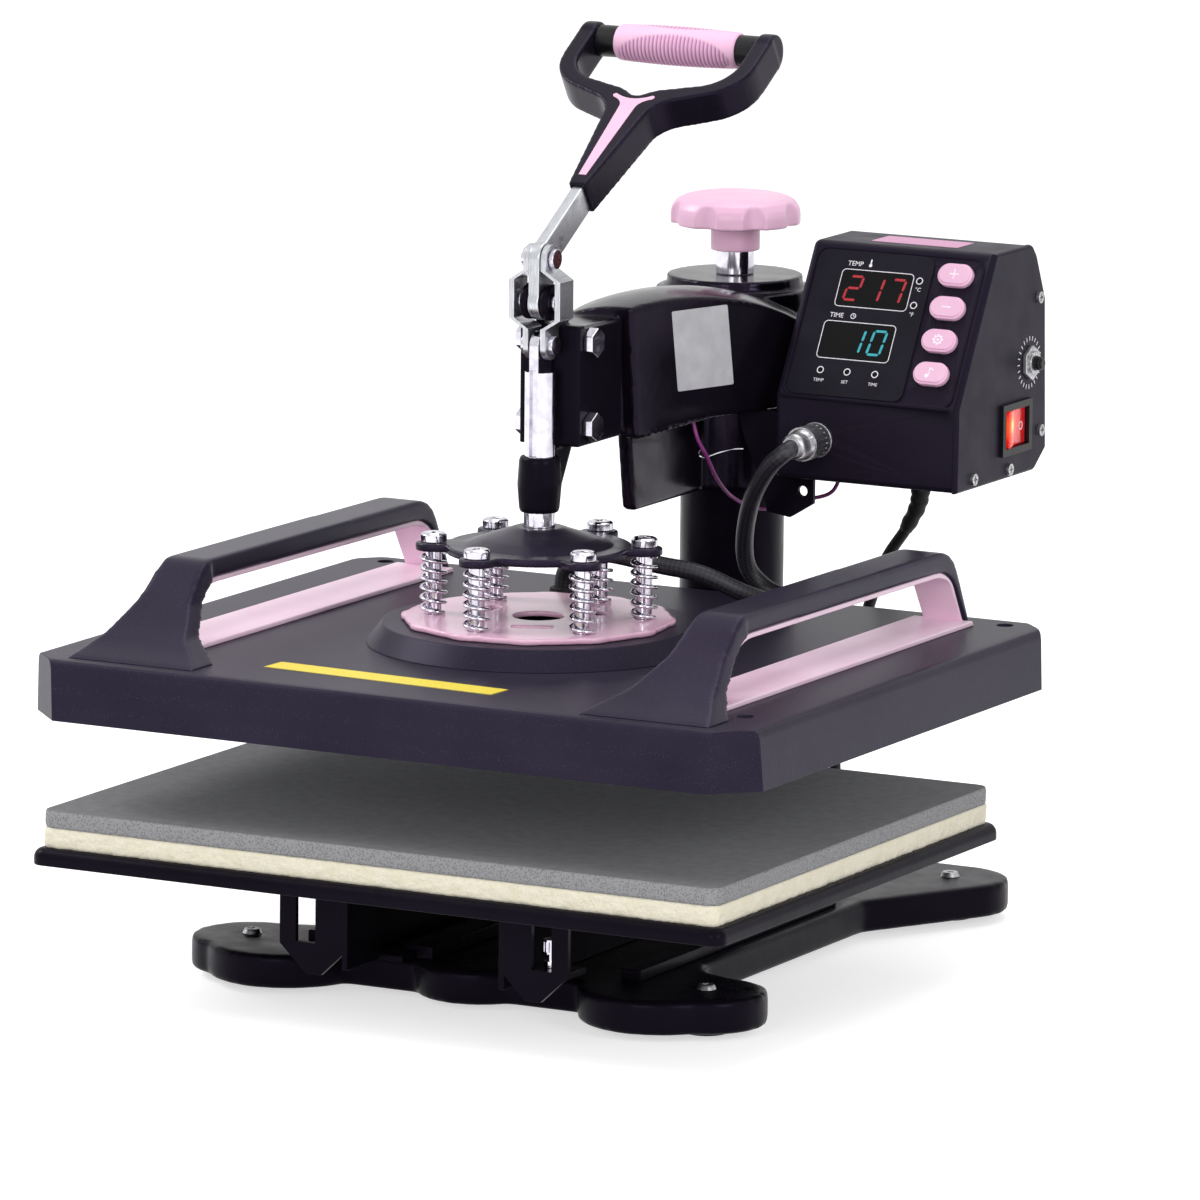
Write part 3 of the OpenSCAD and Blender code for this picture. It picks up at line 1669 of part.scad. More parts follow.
// Front view of a handle's foot, wider towards the cover
module foot_front() {
  bar_in = bar_x - bar_w / 2;
  bar_out = bar_x + bar_w / 2;
  foot_in = bar_in - 31;
  foot_out = bar_out + 17;
  polygon([
    [foot_in, cover_top], [foot_out, cover_top], [bar_out + 8, cover_top + 10], [bar_out + 2, cover_top + 24],
    [bar_out, bar_top], [bar_in, bar_top], [bar_in - 4, cover_top + 24], [bar_in - 14, cover_top + 10]
  ]);
}

module side_handle() {
  bar_in = bar_x - bar_w / 2;
  bar_out = bar_x + bar_w / 2;
  foot_back = window_front + window_slope;
  difference() {
    union() {
      along_x(bar_in, bar_out)
        handle_side();
      intersection() {
        along_x(bar_in - 40, bar_out + 30)
          handle_side();
        translate([0, foot_back, 0])
          rotate([90, 0, 0])
            linear_extrude(foot_back - leg_front + 1)
              foot_front();
      }
    }
    along_x(bar_in - 41, bar_out + 31)
      handle_window(0);
  }
}

module side_handles() {
  color(purple_paint)
    both_sides()
      side_handle();
}

module handle_inserts() {
  half = bar_w / 2 + 0.5;
  strip_half = bar_w / 2 + 7;
  color(pink_plastic)
    both_sides() {
      difference() {
        along_x(bar_x - half, bar_x + half)
          handle_window(0);
        along_x(bar_x - half - 1, bar_x + half + 1)
          handle_window(liner_t);
      }
      intersection() {
        along_x(bar_x - strip_half, bar_x + strip_half)
          handle_window(0);
        translate([0, leg_front, cover_top])
          cube([2 * bar_x, leg_back - leg_front, liner_t]);
      }
    }
}

module hub_collar() {
  color(purple_paint)
    translate([0, press_y, 0])
      difference() {
        translate([0, 0, cover_top])
          cylinder(r1 = collar_r, r2 = collar_r - 8, h = collar_h);
        translate([0, 0, cover_top - 1])
          cylinder(r = spring_ring_r - 16, h = collar_h + 2);
        translate([0, -press_y, 0])
          spring_places()
            translate([0, 0, cover_top + 2])
              cylinder(r = shoulder_r + run_fit, h = collar_h);
      }
}

module spring_plate() {
  disc_r = collar_r - 17.5;
  scallops = 2 * spring_n;
  color(pink_plastic)
    translate([0, press_y, 0])
      difference() {
        translate([0, 0, collar_top]) {
          cylinder(r = disc_r - 1.5, h = spring_plate_t);
          for (i = [0 : scallops - 1])
            rotate([0, 0, spring_start + 360 * i / scallops])
              translate([disc_r - 14, 0, 0])
                cylinder(r = 14.5, h = spring_plate_t);
        }
        translate([0, 0, collar_top - 1])
          cylinder(r = 12.5, h = spring_plate_t + 2);
        for (i = [0 : 2])
          rotate([0, 0, spring_start + 30 + 120 * i])
            translate([28, -10, collar_top - 1])
              cube([6, 20, spring_plate_t + 2]);
        translate([0, -press_y, 0])
          spring_places()
            translate([0, 0, collar_top - 1])
              cylinder(r = shoulder_r + run_fit, h = spring_plate_t + 2);
      }
}

module shoulder_bolts() {
  head_z = spider_top + slide_gap;
  head_r = 6.5;
  head_h = 4.5;
  color(bright_steel)
    spring_places() {
      translate([0, 0, cover_top + 2])
        cylinder(r = shoulder_r, h = head_z - cover_top - 1);
      difference() {
        translate([0, 0, head_z]) {
          cylinder(r = head_r, h = head_h - 1);
          translate([0, 0, head_h - 1])
            cylinder(r1 = head_r, r2 = head_r - 1.2, h = 1);
        }
        for (a = [0, 90])
          rotate([0, 0, a])
            translate([-3.2, -0.7, head_z + head_h - 1.8])
              cube([6.4, 1.4, 3]);
      }
    }
}

module pressure_springs() {
  color(bright_steel)
    spring_places()
      tube(spring_path, wire_r, [1, 0, 0], 6);
}

module heating_plate() {
  lug_r = 6;
  color(alloy)
    difference() {
      union() {
        translate([-heat_w / 2, cover_y - heat_d / 2, platen_z])
          cube([heat_w, heat_d, heat_t]);
        corner_places()
          translate([0, 0, platen_z])
            cylinder(r = lug_r, h = heat_t);
      }
      corner_places()
        translate([0, 0, platen_z + 3.5])
          cylinder(r = 2 + run_fit, h = heat_t);
    }
}

module heating_element() {
  rod = 4;
  reach_x = heat_w / 2 - 55;
  reach_y = heat_d / 2 - 51;
  legs = [-reach_x, -reach_x / 3, reach_x / 3, reach_x];
  element_z = platen_z + heat_t + rod;
  color(alloy)
    for (i = [0 : 3]) {
      translate([legs[i], cover_y - reach_y, element_z])
        rotate([-90, 0, 0])
          cylinder(r = rod, h = 2 * reach_y);
      if (i < 3)
        rod_x(legs[i], legs[i + 1], cover_y + (i % 2 == 0 ? reach_y : -reach_y), element_z, rod);
    }
}

// A flanged boot where the cable enters the cover
module cable_gland() {
  flange_t = 2.5;
  boot_h = 10;
  color(rubber_black)
    translate(heater_end)
      difference() {
        union() {
          translate([0, 0, -cover_wall])
            cylinder(r = cable_r + 5 - run_fit, h = cover_wall + 1);
          cylinder(r = cable_r + 8, h = flange_t);
          translate([0, 0, flange_t])
            cylinder(r1 = cable_r + 3.5, r2 = cable_r + 2, h = boot_h - flange_t);
        }
        translate([0, 0, -cover_wall - 1])
          cylinder(r = cable_r + slide_gap, h = boot_h + cover_wall + 2);
      }
}

base_casting();
rubber_feet();
base_screws();
post();
guide_rails();
power_cord();
power_coil();
power_plug();
platen_stands();
lower_plate();
felt_pad();
silicone_pad();
thumb_screw();
swivel_sleeve();
arm_casting();
clamp_bracket();
bracket_bolts();
pivot_pin();
box_bracket();
box_shell();
box_side_cover();
box_screws();
display_panel();
control_board();
switch_frame();
breaker_body();
connector_socket();
cord_gland();
probe_lead();
heater_cable();
pressure_knob();
pressure_screw();
button_plus();
button_minus();
button_set();
button_sound();
power_rocker();
breaker_button();
coupling_ring();
lever_bar();
lever_pin();
handle_frame();
handle_inlay();
handle_tube();
grip_sleeve();
link_plates();
link_rivets();
plunger_rod();
spider_plate();
platen_cover();
cover_screws();
side_handles();
handle_inserts();
hub_collar();
spring_plate();
shoulder_bolts();
pressure_springs();
heating_plate();
heating_element();
cable_gland();
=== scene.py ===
# %% [markdown]
# # A swing-away heat press, dressed around its CAD frame
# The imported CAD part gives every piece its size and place. This lesson adds what a solid
# model leaves out: rounded edges, the finish of each material, wound springs, cords that
# hang, felt and sponge, and the print on the control panel.
# %% Load the frame
import json
import math

import bmesh
import bpy
import numpy as np
from mathutils import Matrix, Vector, noise


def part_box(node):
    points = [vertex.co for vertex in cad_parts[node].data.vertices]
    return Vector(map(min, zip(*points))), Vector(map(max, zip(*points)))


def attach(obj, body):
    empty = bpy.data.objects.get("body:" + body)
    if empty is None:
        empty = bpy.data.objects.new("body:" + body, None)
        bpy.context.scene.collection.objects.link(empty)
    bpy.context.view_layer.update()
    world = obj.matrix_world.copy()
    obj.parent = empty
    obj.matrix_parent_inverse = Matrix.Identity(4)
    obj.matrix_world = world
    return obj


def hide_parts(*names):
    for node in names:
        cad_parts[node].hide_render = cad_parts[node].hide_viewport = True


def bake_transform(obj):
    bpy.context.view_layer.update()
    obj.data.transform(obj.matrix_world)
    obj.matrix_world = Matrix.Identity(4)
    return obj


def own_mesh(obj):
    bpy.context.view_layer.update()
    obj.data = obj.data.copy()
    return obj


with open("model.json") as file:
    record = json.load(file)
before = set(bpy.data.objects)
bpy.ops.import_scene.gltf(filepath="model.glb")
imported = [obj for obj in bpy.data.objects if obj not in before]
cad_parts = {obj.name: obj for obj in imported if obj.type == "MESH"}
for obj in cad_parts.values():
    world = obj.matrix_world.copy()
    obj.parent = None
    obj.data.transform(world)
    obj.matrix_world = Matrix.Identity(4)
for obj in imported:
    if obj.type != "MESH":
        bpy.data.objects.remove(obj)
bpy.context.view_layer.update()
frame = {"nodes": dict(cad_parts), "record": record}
MM = 0.001
body_of = {node: body for body, nodes in frame["record"]["behaviour"]["bodies"].items() for node in nodes}

# %% [markdown]
# ## The camera
# The photograph was taken from far away with a long lens, so the sides hardly converge. A
# camera has a place, a direction and a focal length. These come from matching points of the
# part with the picture, and the picture is square, so the lens is the focal length in pixels
# times the sensor width over the picture width.
# %% Camera
IMAGE = 1200
SENSOR = 36.0
FOCAL_PX = 10206
camera_place = Vector((2.35683, -4.39525, 1.07955))
camera_right = Vector((0.881056, 0.472921, 0.009267))
camera_up = Vector((-0.091696, 0.151546, 0.984188))
camera_back = camera_right.cross(camera_up)
camera_data = bpy.data.cameras.new("camera")
camera_data.sensor_width = SENSOR
camera_data.lens = FOCAL_PX / IMAGE * SENSOR
camera_data.clip_end = 100
camera = bpy.data.objects.new("camera", camera_data)
bpy.context.scene.collection.objects.link(camera)
turn = Matrix((camera_right, camera_up, camera_back)).transposed().to_4x4()
camera.matrix_world = Matrix.Translation(camera_place) @ turn
bpy.context.scene.camera = camera
print("camera lens", round(camera_data.lens, 1), "mm")


# %% [markdown]
# ## Materials
# Each finish starts from what the real surface is. One function turns a hex colour to linear
# light, one adds a node with its settings and links, and short ones add the kinds that come
# often. Every pattern is scaled from a real size in millimetres and read from Object
# coordinates, so it stays on its piece.
# %% Helpers for materials
def linear(hex_colour):
    """sRGB hex to linear RGBA."""
    channels = [int(hex_colour[i:i + 2], 16) / 255 for i in (1, 3, 5)]
    return tuple(c / 12.92 if c <= 0.04045 else ((c + 0.055) / 1.055) ** 2.4 for c in channels) + (1.0,)


def add(tree, kind, inputs=None, **settings):
    """Adds a node. An input is a value, a socket or a node to link, which gives its first output."""
    node = tree.nodes.new(kind)
    for key, value in settings.items():
        setattr(node, key, value)
    for key, value in (inputs or {}).items():
        if isinstance(value, bpy.types.Node):
            value = value.outputs[0]
        if isinstance(value, bpy.types.NodeSocket):
            tree.links.new(value, node.inputs[key])
        else:
            node.inputs[key].default_value = value
    return node


def per_mm(size):
    """The texture scale that makes a pattern's cell this many millimetres wide."""
    return 1 / (size * MM)


def blotches(tree, place, size_mm, detail=2.0):
    """Noise whose blotches are this many millimetres wide."""
    return add(tree, "ShaderNodeTexNoise", {"Vector": place, "Scale": per_mm(size_mm), "Detail": detail})


def ramp(tree, value, stops):
    """A colour ramp through stops, each a place and a colour. A new ramp has two stops already."""
    node = add(tree, "ShaderNodeValToRGB", {"Fac": value})
    elements = node.color_ramp.elements
    for number, (position, colour) in enumerate(stops):
        element = elements[number] if number < 2 else elements.new(position)
        element.position = position
        element.color = linear(colour)
    return node


def remapped(tree, value, low, high, to_low=0.0, to_high=1.0):
    """A value moved from one range to another."""
    return add(tree, "ShaderNodeMapRange", {"Value": value, "From Min": low, "From Max": high,
                                            "To Min": to_low, "To Max": to_high})


def calc(tree, operation, a, b):
    """Two values worked together."""
    return add(tree, "ShaderNodeMath", {0: a, 1: b}, operation=operation)


def mixed(tree, share, first, second):
    """A colour between two. The Mix node takes colours in sockets 6 and 7 and gives one in socket 2."""
    return add(tree, "ShaderNodeMix", {0: share, 6: first, 7: second}, data_type="RGBA").outputs[2]


def relief(tree, height, depth_mm):
    """A bump of this depth, for the normal of a surface."""
    return add(tree, "ShaderNodeBump", {"Height": height, "Distance": depth_mm * MM})


def surface(tree, settings):
    """The main shader with its settings, linked to the material's output."""
    skin = add(tree, "ShaderNodeBsdfPrincipled", settings)
    add(tree, "ShaderNodeOutputMaterial", {"Surface": skin})


def new_finish(name):
    """An empty material, and the Object coordinates that its patterns are drawn on."""
    material = bpy.data.materials.new(name)
    material.use_nodes = True
    material.node_tree.nodes.clear()
    tree = material.node_tree
    return material, tree, add(tree, "ShaderNodeTexCoord").outputs["Object"]


# %% [markdown]
# ### Enamel and powder coat
# The castings are stoved black enamel with a slight orange peel, and the arm's is glossier.
# The purple coats tint what they mirror, which is why their highlights aren't white.
# The box has a smoother satin coat. The cover and handles have a dark purple-grey skin with a
# fine grit, drawn 0.6 mm coarse, so that it just shows; a few grains are painted lighter, as painted glints
# where the grit would catch the light.
# %% Enamel, powder coat and moulded purple plastic
def enamel(name, colour, lighter, roughness, peel_mm, depth_mm, shine, tint="#ffffff"):
    """Stoved enamel: an orange peel, a slow drift of tone and some duller patches."""
    material, tree, place = new_finish(name)
    drift = blotches(tree, place, 60)
    tone = ramp(tree, drift, [(0.3, colour), (0.75, lighter)])
    worn = blotches(tree, place, 14, 4.0)
    dull = remapped(tree, worn, 0.3, 0.7, roughness - 0.04, roughness + 0.06)
    peel = blotches(tree, place, peel_mm)
    bump = relief(tree, peel, depth_mm)
    surface(tree, {
        "Base Color": tone, "Roughness": dull, "Normal": bump,
        "Specular IOR Level": shine, "Specular Tint": linear(tint)})
    return material


def gritty(name, colour, lighter, fleck, roughness, depth_mm, shine, tint):
    """A skin of fine grit: cells for the grains, and brighter flecks painted on a few of them as glints."""
    material, tree, place = new_finish(name)
    cells = add(tree, "ShaderNodeTexVoronoi", {"Vector": place, "Scale": per_mm(0.6)})
    drift = blotches(tree, place, 45)
    tone = ramp(tree, drift, [(0.3, colour), (0.7, lighter)])
    # painted glints: a few grains, near their centres, take the lighter fleck colour
    few = remapped(tree, cells.outputs["Color"], 0.72, 0.9)
    near = remapped(tree, cells.outputs["Distance"], 0.45, 0.1)
    amount = calc(tree, "MULTIPLY", few, near)
    painted_glints = mixed(tree, amount, tone, linear(fleck))
    bump = relief(tree, cells.outputs["Distance"], depth_mm)
    surface(tree, {
        "Base Color": painted_glints, "Roughness": roughness, "Normal": bump,
        "Specular IOR Level": shine, "Specular Tint": linear(tint)})
    return material


black_enamel = enamel("stoved_enamel_black", "#0d0a11", "#131018", 0.3, 2.2, 0.05, 0.08, "#b9a6d4")
arm_enamel = enamel("glossy_enamel_arm", "#09070c", "#130f18", 0.18, 3.5, 0.03, 0.25, "#c3aedd")
satin_purple = enamel("satin_enamel_purple", "#1a1622", "#231e2c", 0.3, 1.8, 0.05, 0.35, "#b09ccc")
box_purple = enamel("satin_coat_box", "#19151f", "#1f1b27", 0.4, 1.6, 0.03, 0.14, "#a894c6")
lever_purple = enamel("moulded_plastic_lever", "#14111a", "#1a1622", 0.28, 1.2, 0.02, 0.2, "#b09ccc")
powder_purple = gritty("powder_coat_purple", "#25212e", "#2c2836", "#4d465f", 0.36, 0.06, 0.14, "#b09ccc")
handle_purple = gritty("moulded_handle_purple", "#211d2b", "#292434", "#4a435c", 0.32, 0.04, 0.2, "#b09ccc")
print("coats:", black_enamel.name, powder_purple.name, box_purple.name)


# %% [markdown]
# ### Pale pink pieces
# The knob, liners and buttons are glossy moulded ABS, the grip is a softer rubber and the
# spring plate is enamelled steel. A faint drift of tone keeps each from being one flat colour.
# All are plain moulded or coated surfaces, so one function makes them.
# The rubber is painted darker in its grooves, a painted shade where the grooves lie in shadow: the grip's
# mesh says how deep each point lies in an attribute of its own, and the material mixes its colour by that.
# %% Pink finishes
def plain_skin(name, dark, light, roughness, blotch_mm, skin_mm, depth_mm, shine=0.5, coat=0.0, detail=4.0):
    """A moulded or printed surface: blotches of two close tones and a fine skin."""
    material, tree, place = new_finish(name)
    blotch = blotches(tree, place, blotch_mm, detail)
    tone = ramp(tree, blotch, [(0.3, dark), (0.7, light)])
    fine = blotches(tree, place, skin_mm, 3.0)
    bump = relief(tree, fine, depth_mm)
    surface(tree, {
        "Base Color": tone, "Roughness": roughness, "Normal": bump, "Specular IOR Level": shine,
        "Coat Weight": coat, "Coat Roughness": 0.1})
    return material


DRIFT_MM = 35
pink_abs = plain_skin("abs_pink", "#eab8d6", "#f1c3de", 0.34, DRIFT_MM, 1.5, 0.02, detail=2.0)
# painted light: the liners are the same pink ABS, painted lighter to make up for the handles' shade on them
pink_liner_painted_light = plain_skin("abs_pink_liner", "#f7d6ea", "#fce0f1", 0.36, DRIFT_MM, 1.5, 0.02, detail=2.0)
pink_enamel = plain_skin("enamel_pink", "#e6b3cf", "#eec0d8", 0.26, DRIFT_MM, 2.5, 0.03,
                         coat=0.3, detail=2.0)
pink_rubber = plain_skin("rubber_pink", "#efb9da", "#f5c5e1", 0.5, DRIFT_MM, 0.8, 0.03, detail=2.0)

tree = pink_rubber.node_tree
skin = tree.nodes["Principled BSDF"]
proud_tone = skin.inputs["Base Color"].links[0].from_socket
# painted shade: the deeper a point lies in a groove, the more of the darker pink #bd84b0 it gets
groove = add(tree, "ShaderNodeAttribute", attribute_name="groove")
painted_groove_shade = mixed(tree, groove.outputs["Fac"], proud_tone, linear("#bd84b0"))
tree.links.new(painted_groove_shade, skin.inputs["Base Color"])
print("pinks:", pink_abs.name, pink_rubber.name, pink_enamel.name)


# %% [markdown]
# ### Metals
# Plated screws, springs and the plunger are bright and nearly mirror-like. The lever and the
# links are bare steel bar with fine rolling marks along them, and the box screws are duller
# zinc. Stretching the noise along one axis turns blotches into working marks.
# %% Metals
def metal(name, colour, darker, roughness, scratch, stretch, mark_mm, depth_mm):
    """A metal whose tone and roughness vary along its working marks."""
    material, tree, place = new_finish(name)
    along = add(tree, "ShaderNodeMapping", {"Vector": place, "Scale": stretch})
    marks = blotches(tree, along, mark_mm, 4.0)
    tone = ramp(tree, marks, [(0.3, darker), (0.65, colour)])
    dull = remapped(tree, marks, 0.3, 0.7, roughness + scratch, roughness)
    bump = relief(tree, marks, depth_mm)
    surface(tree, {"Base Color": tone, "Metallic": 1.0, "Roughness": dull, "Normal": bump})
    return material


plated_steel = metal("plated_steel", "#dcd9e2", "#c3bfcb", 0.09, 0.08, (1, 1, 1), 5, 0.01)
lever_steel = metal("rolled_steel_bar", "#cdcfd3", "#a9abb0", 0.24, 0.14, (4, 0.3, 0.3), 2, 0.01)
zinc_steel = metal("zinc_plated_steel", "#c2c2c4", "#8f9093", 0.3, 0.15, (1, 1, 1), 2, 0.01)
cast_alloy = metal("cast_aluminium", "#b4b6ba", "#94969b", 0.42, 0.14, (1, 1, 1), 3, 0.03)
print("metals:", plated_steel.name, lever_steel.name, zinc_steel.name, cast_alloy.name)


# %% [markdown]
# ### Rubber and small plastic pieces
# Rubber is matte and slightly blotched by handling. The black plastic of the switch frame
# and plug is smoother. Film, wire and circuit board are the same kind of plain moulded or
# printed surface in other colours, so the function of the pink pieces makes them all.
# %% Rubber, black plastic, film, wire, board and sponge skin
rubber_black = plain_skin("rubber_black", "#0e0e10", "#19191c", 0.6, 8, 0.9, 0.05, 0.25)
black_plastic = plain_skin("moulded_plastic_black", "#0d0c0f", "#151418", 0.34, 6, 0.7, 0.02, 0.25)
panel_film = plain_skin("printed_panel_film", "#15121b", "#1b1823", 0.3, 20, 6, 0.01, 0.12)
window_glass = plain_skin("display_window", "#040305", "#070609", 0.14, 15, 12, 0.01, 0.15)
wire_magenta = plain_skin("silicone_wire_magenta", "#6f2465", "#8c3280", 0.45, 5, 1, 0.02)
board_green = plain_skin("circuit_board_green", "#185a30", "#257a44", 0.4, 4, 2, 0.02)
label_silver = plain_skin("label_silver", "#b2b2b6", "#c4c4c8", 0.38, 9, 4, 0.01)
sponge_skin = plain_skin("silicone_sponge_skin", "#7b7b7e", "#88888b", 0.8, 6, 1.3, 0.3)
print("plain skins:", rubber_black.name, black_plastic.name, panel_film.name)

# %% [markdown]
# ### Felt and cut sponge
# The felt is a mat of pale fibres, so its noise is fine and its bump is deep. The silicone
# sponge has a closed skin on its faces, made above, and open pores where it was cut, so its
# edge is a second material with round cells for the pores. Each pore is painted darker at its centre, a
# painted shade in the hole.
# %% Felt and cut sponge
felt_cream, tree, place = new_finish("needled_felt_cream")
fibres = blotches(tree, place, 1.6, 6.0)
tufts = blotches(tree, place, 9, 3.0)
fibre_tone = ramp(tree, fibres, [(0.25, "#e0d6b8"), (0.6, "#ece5d0")])
tuft_tone = ramp(tree, tufts, [(0.3, "#e6dec4"), (0.6, "#f0ead8")])
cream = mixed(tree, 0.5, fibre_tone, tuft_tone)
matted = relief(tree, fibres, 0.8)
surface(tree, {"Base Color": cream, "Roughness": 0.95, "Normal": matted, "Sheen Weight": 0.3})

sponge_cut, tree, place = new_finish("silicone_sponge_cut")
pores = add(tree, "ShaderNodeTexVoronoi", {"Vector": place, "Scale": per_mm(1.1)})
# painted shade: darker at each pore's centre, lighter between the pores
pores_painted_shade = ramp(tree, pores.outputs["Distance"], [(0.1, "#636366"), (0.5, "#929294")])
porous = relief(tree, pores.outputs["Distance"], 0.35)
surface(tree, {"Base Color": pores_painted_shade, "Roughness": 0.85, "Normal": porous})
print("soft finishes:", felt_cream.name, sponge_cut.name)


# %% [markdown]
# ### Print and lamps
# The panel's marks are white ink and its digits are lit segments, red above and blue green
# below. The rocker is clear red plastic with a small lamp behind its front half, so its glow
# falls off with the distance from that point.
# %% Ink, lit segments, labels and rocker
def ink(name, colour, thin, glow=0.0):
    """Printed ink or a lit segment, with the slight unevenness of a screen print."""
    material, tree, place = new_finish(name)
    uneven = blotches(tree, place, 1.5)
    tone = ramp(tree, uneven, [(0.35, thin), (0.65, colour)])
    surface(tree, {
        "Base Color": tone, "Roughness": 0.45,
        "Emission Color": linear(colour), "Emission Strength": glow})
    return material


white_ink = ink("white_ink", "#ece9ef", "#dfdbe3")
button_ink = ink("button_ink", "#fff6fc", "#fbeaf5")
segment_red = ink("lit_segment_red", "#a01222", "#8c0f1d", 0.3)
segment_blue = ink("lit_segment_blue", "#2a98a4", "#238792", 0.3)
label_yellow = ink("label_yellow", "#f2dc3a", "#ead234")
label_pink = ink("label_pink", "#d79cc0", "#cf92b8")
label_dark = ink("label_dark", "#2b2733", "#221f29")

LAMP_PLACE, LAMP_REACH = (0.166, 0.1385, 0.2655), 0.015
rocker_red, tree, place = new_finish("clear_red_plastic")
from_lamp = add(tree, "ShaderNodeVectorMath", {0: place, 1: LAMP_PLACE}, operation="DISTANCE")
near_lamp = remapped(tree, from_lamp.outputs["Value"], LAMP_REACH, 0.0)
glow = ramp(tree, near_lamp, [(0.0, "#5a0606"), (0.95, "#ffd875"), (0.4, "#b01208"), (0.7, "#ff5a14")])
ripple = blotches(tree, place, 2.5)
bump = relief(tree, ripple, 0.05)
surface(tree, {
    "Base Color": linear("#b00f14"), "Roughness": 0.16, "Normal": bump, "Coat Weight": 0.3,
    "Emission Color": glow, "Emission Strength": 1.3})
print("inks and lamps:", white_ink.name, segment_red.name, rocker_red.name)

# %% [markdown]
# ### Braided sleeve
# The heater cable wears a woven sleeve. Its UV map counts once round the cable and in metres
# along it, so two slanted counts make the diamonds of the braid: 12 strands round, and one
# strand every 2.4 mm along.
# %% Braided sleeve
STRANDS_ROUND, STRAND_MM = 12.0, 2.4
braid_black, tree, place = new_finish("braided_sleeve_black")
uv = add(tree, "ShaderNodeSeparateXYZ", {0: add(tree, "ShaderNodeUVMap", uv_map="along").outputs["UV"]})
around = calc(tree, "MULTIPLY", uv.outputs["X"], STRANDS_ROUND)
along = calc(tree, "MULTIPLY", uv.outputs["Y"], per_mm(STRAND_MM))
left_hand = calc(tree, "ADD", around, along)
right_hand = calc(tree, "SUBTRACT", around, along)
weave = add(tree, "ShaderNodeCombineXYZ", {"X": left_hand, "Y": right_hand, "Z": 0.5})
checks = add(tree, "ShaderNodeTexChecker", {"Vector": weave, "Scale": 1.0})
tone = ramp(tree, checks.outputs["Fac"], [(0.0, "#131216"), (1.0, "#2c2a33")])
bump = relief(tree, checks.outputs["Fac"], 0.25)
surface(tree, {"Base Color": tone, "Roughness": 0.5, "Normal": bump})
print("braid:", braid_black.name)


# %% [markdown]
# ## Cords
# Three cords hang free: the mains lead from the box to a tied coil behind the base, the
# heater cable from the box to the platen, and a thin probe lead under the arm. A cord is a
# tube swept along one smooth curve through a few points, the same points that the CAD uses.
# %% Curve and tube helpers
def smooth_path(points, steps):
    """A curve through points given in millimetres, with steps pieces between each two."""
    p = [np.array(q, float) * MM for q in points]
    path = []
    for i in range(len(p) - 1):
        a, b, c, d = p[max(i - 1, 0)], p[i], p[i + 1], p[min(i + 2, len(p) - 1)]
        for k in range(steps):
            t = k / steps
            path.append(0.5 * (2 * b + (c - a) * t + (2 * a - 5 * b + 4 * c - d) * t ** 2
                               + (3 * b - a - 3 * c + d) * t ** 3))
    return path + [p[-1]]


def steps_from(start, steps):
    """Points in millimetres, given by their steps from one place."""
    return [tuple(s + d for s, d in zip(start, step)) for step in steps]


def path_length(path):
    return float(sum(np.linalg.norm(b - a) for a, b in zip(path, path[1:])))


def give_finish(mesh, material):
    """Gives a mesh this one material."""
    mesh.materials.clear()
    mesh.materials.append(material)


def new_piece(name, mesh, material, body=None):
    """A new object of a mesh, on its body if one is given."""
    give_finish(mesh, material)
    piece = bpy.data.objects.new(name, mesh)
    bpy.context.scene.collection.objects.link(piece)
    if body:
        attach(piece, body)
    return piece


# a direction that no tube here starts along, to set its first side from
ASKEW = (0.31, 0.22, 0.93)


def tube(name, path, radius, material, sides, body=None):
    """One closed tube along a path, with a UV map that counts round it and in metres along it."""
    count = len(path)
    radii = radius if isinstance(radius, list) else [radius] * count
    ahead = [path[min(i + 1, count - 1)] - path[max(i - 1, 0)] for i in range(count)]
    ahead = [a / np.linalg.norm(a) for a in ahead]
    side = np.cross(ahead[0], ASKEW)
    run = [0.0]
    for a, b in zip(path, path[1:]):
        run.append(run[-1] + float(np.linalg.norm(b - a)))
    verts, faces, uvs = [], [], []
    for i in range(count):
        side = side - ahead[i] * float(side @ ahead[i])
        side = side / np.linalg.norm(side)
        up = np.cross(ahead[i], side)
        for k in range(sides):
            angle = 2 * math.pi * k / sides
            verts.append(path[i] + radii[i] * (side * math.cos(angle) + up * math.sin(angle)))
    for i in range(count - 1):
        for k in range(sides):
            n = (k + 1) % sides
            faces.append((i * sides + k, i * sides + n, (i + 1) * sides + n, (i + 1) * sides + k))
            u0, u1 = k / sides, (k + 1) / sides
            uvs += [(u0, run[i]), (u1, run[i]), (u1, run[i + 1]), (u0, run[i + 1])]
    faces.append(tuple(reversed(range(sides))))
    faces.append(tuple((count - 1) * sides + k for k in range(sides)))
    uvs += [(0.0, 0.0)] * (2 * sides)
    mesh = bpy.data.meshes.new(name)
    mesh.from_pydata([tuple(v) for v in verts], [], faces)
    layer = mesh.uv_layers.new(name="along")
    layer.data.foreach_set("uv", [x for pair in uvs for x in pair])
    mesh.polygons.foreach_set("use_smooth", [True] * (len(faces) - 2) + [False, False])
    return new_piece(name, mesh, material, body)


def face_outwards(mesh):
    """Turns all faces of a closed mesh outwards."""
    bm = bmesh.new()
    bm.from_mesh(mesh)
    bmesh.ops.recalc_face_normals(bm, faces=bm.faces)
    bm.to_mesh(mesh)
    bm.free()


# %% [markdown]
# The mains lead leaves its gland straight down, falls behind the post and lies in a tied
# coil: in along the upper layer, down a layer in the half turn where the spiral turns back,
# and out along the lower one to the plug. A ribbed, tapered boot guards it at the gland.
# %% Mains lead
CORD_R = 3.0
COIL_R = 46.0
COIL_LOOPS = 6
COIL_PITCH = 2 * CORD_R + 0.8
COIL_CENTRE = (-30, 220 + COIL_R + CORD_R + 5)
TURN_STEPS = 48
TAIL_STEPS, TAIL_STEP = 6, 9
GLAND = (102, 165, 239)
BOOT_R, BOOT_TAPER, BOOT_RIB, BOOT_RINGS = 5.2, 1.5, 0.2, 20


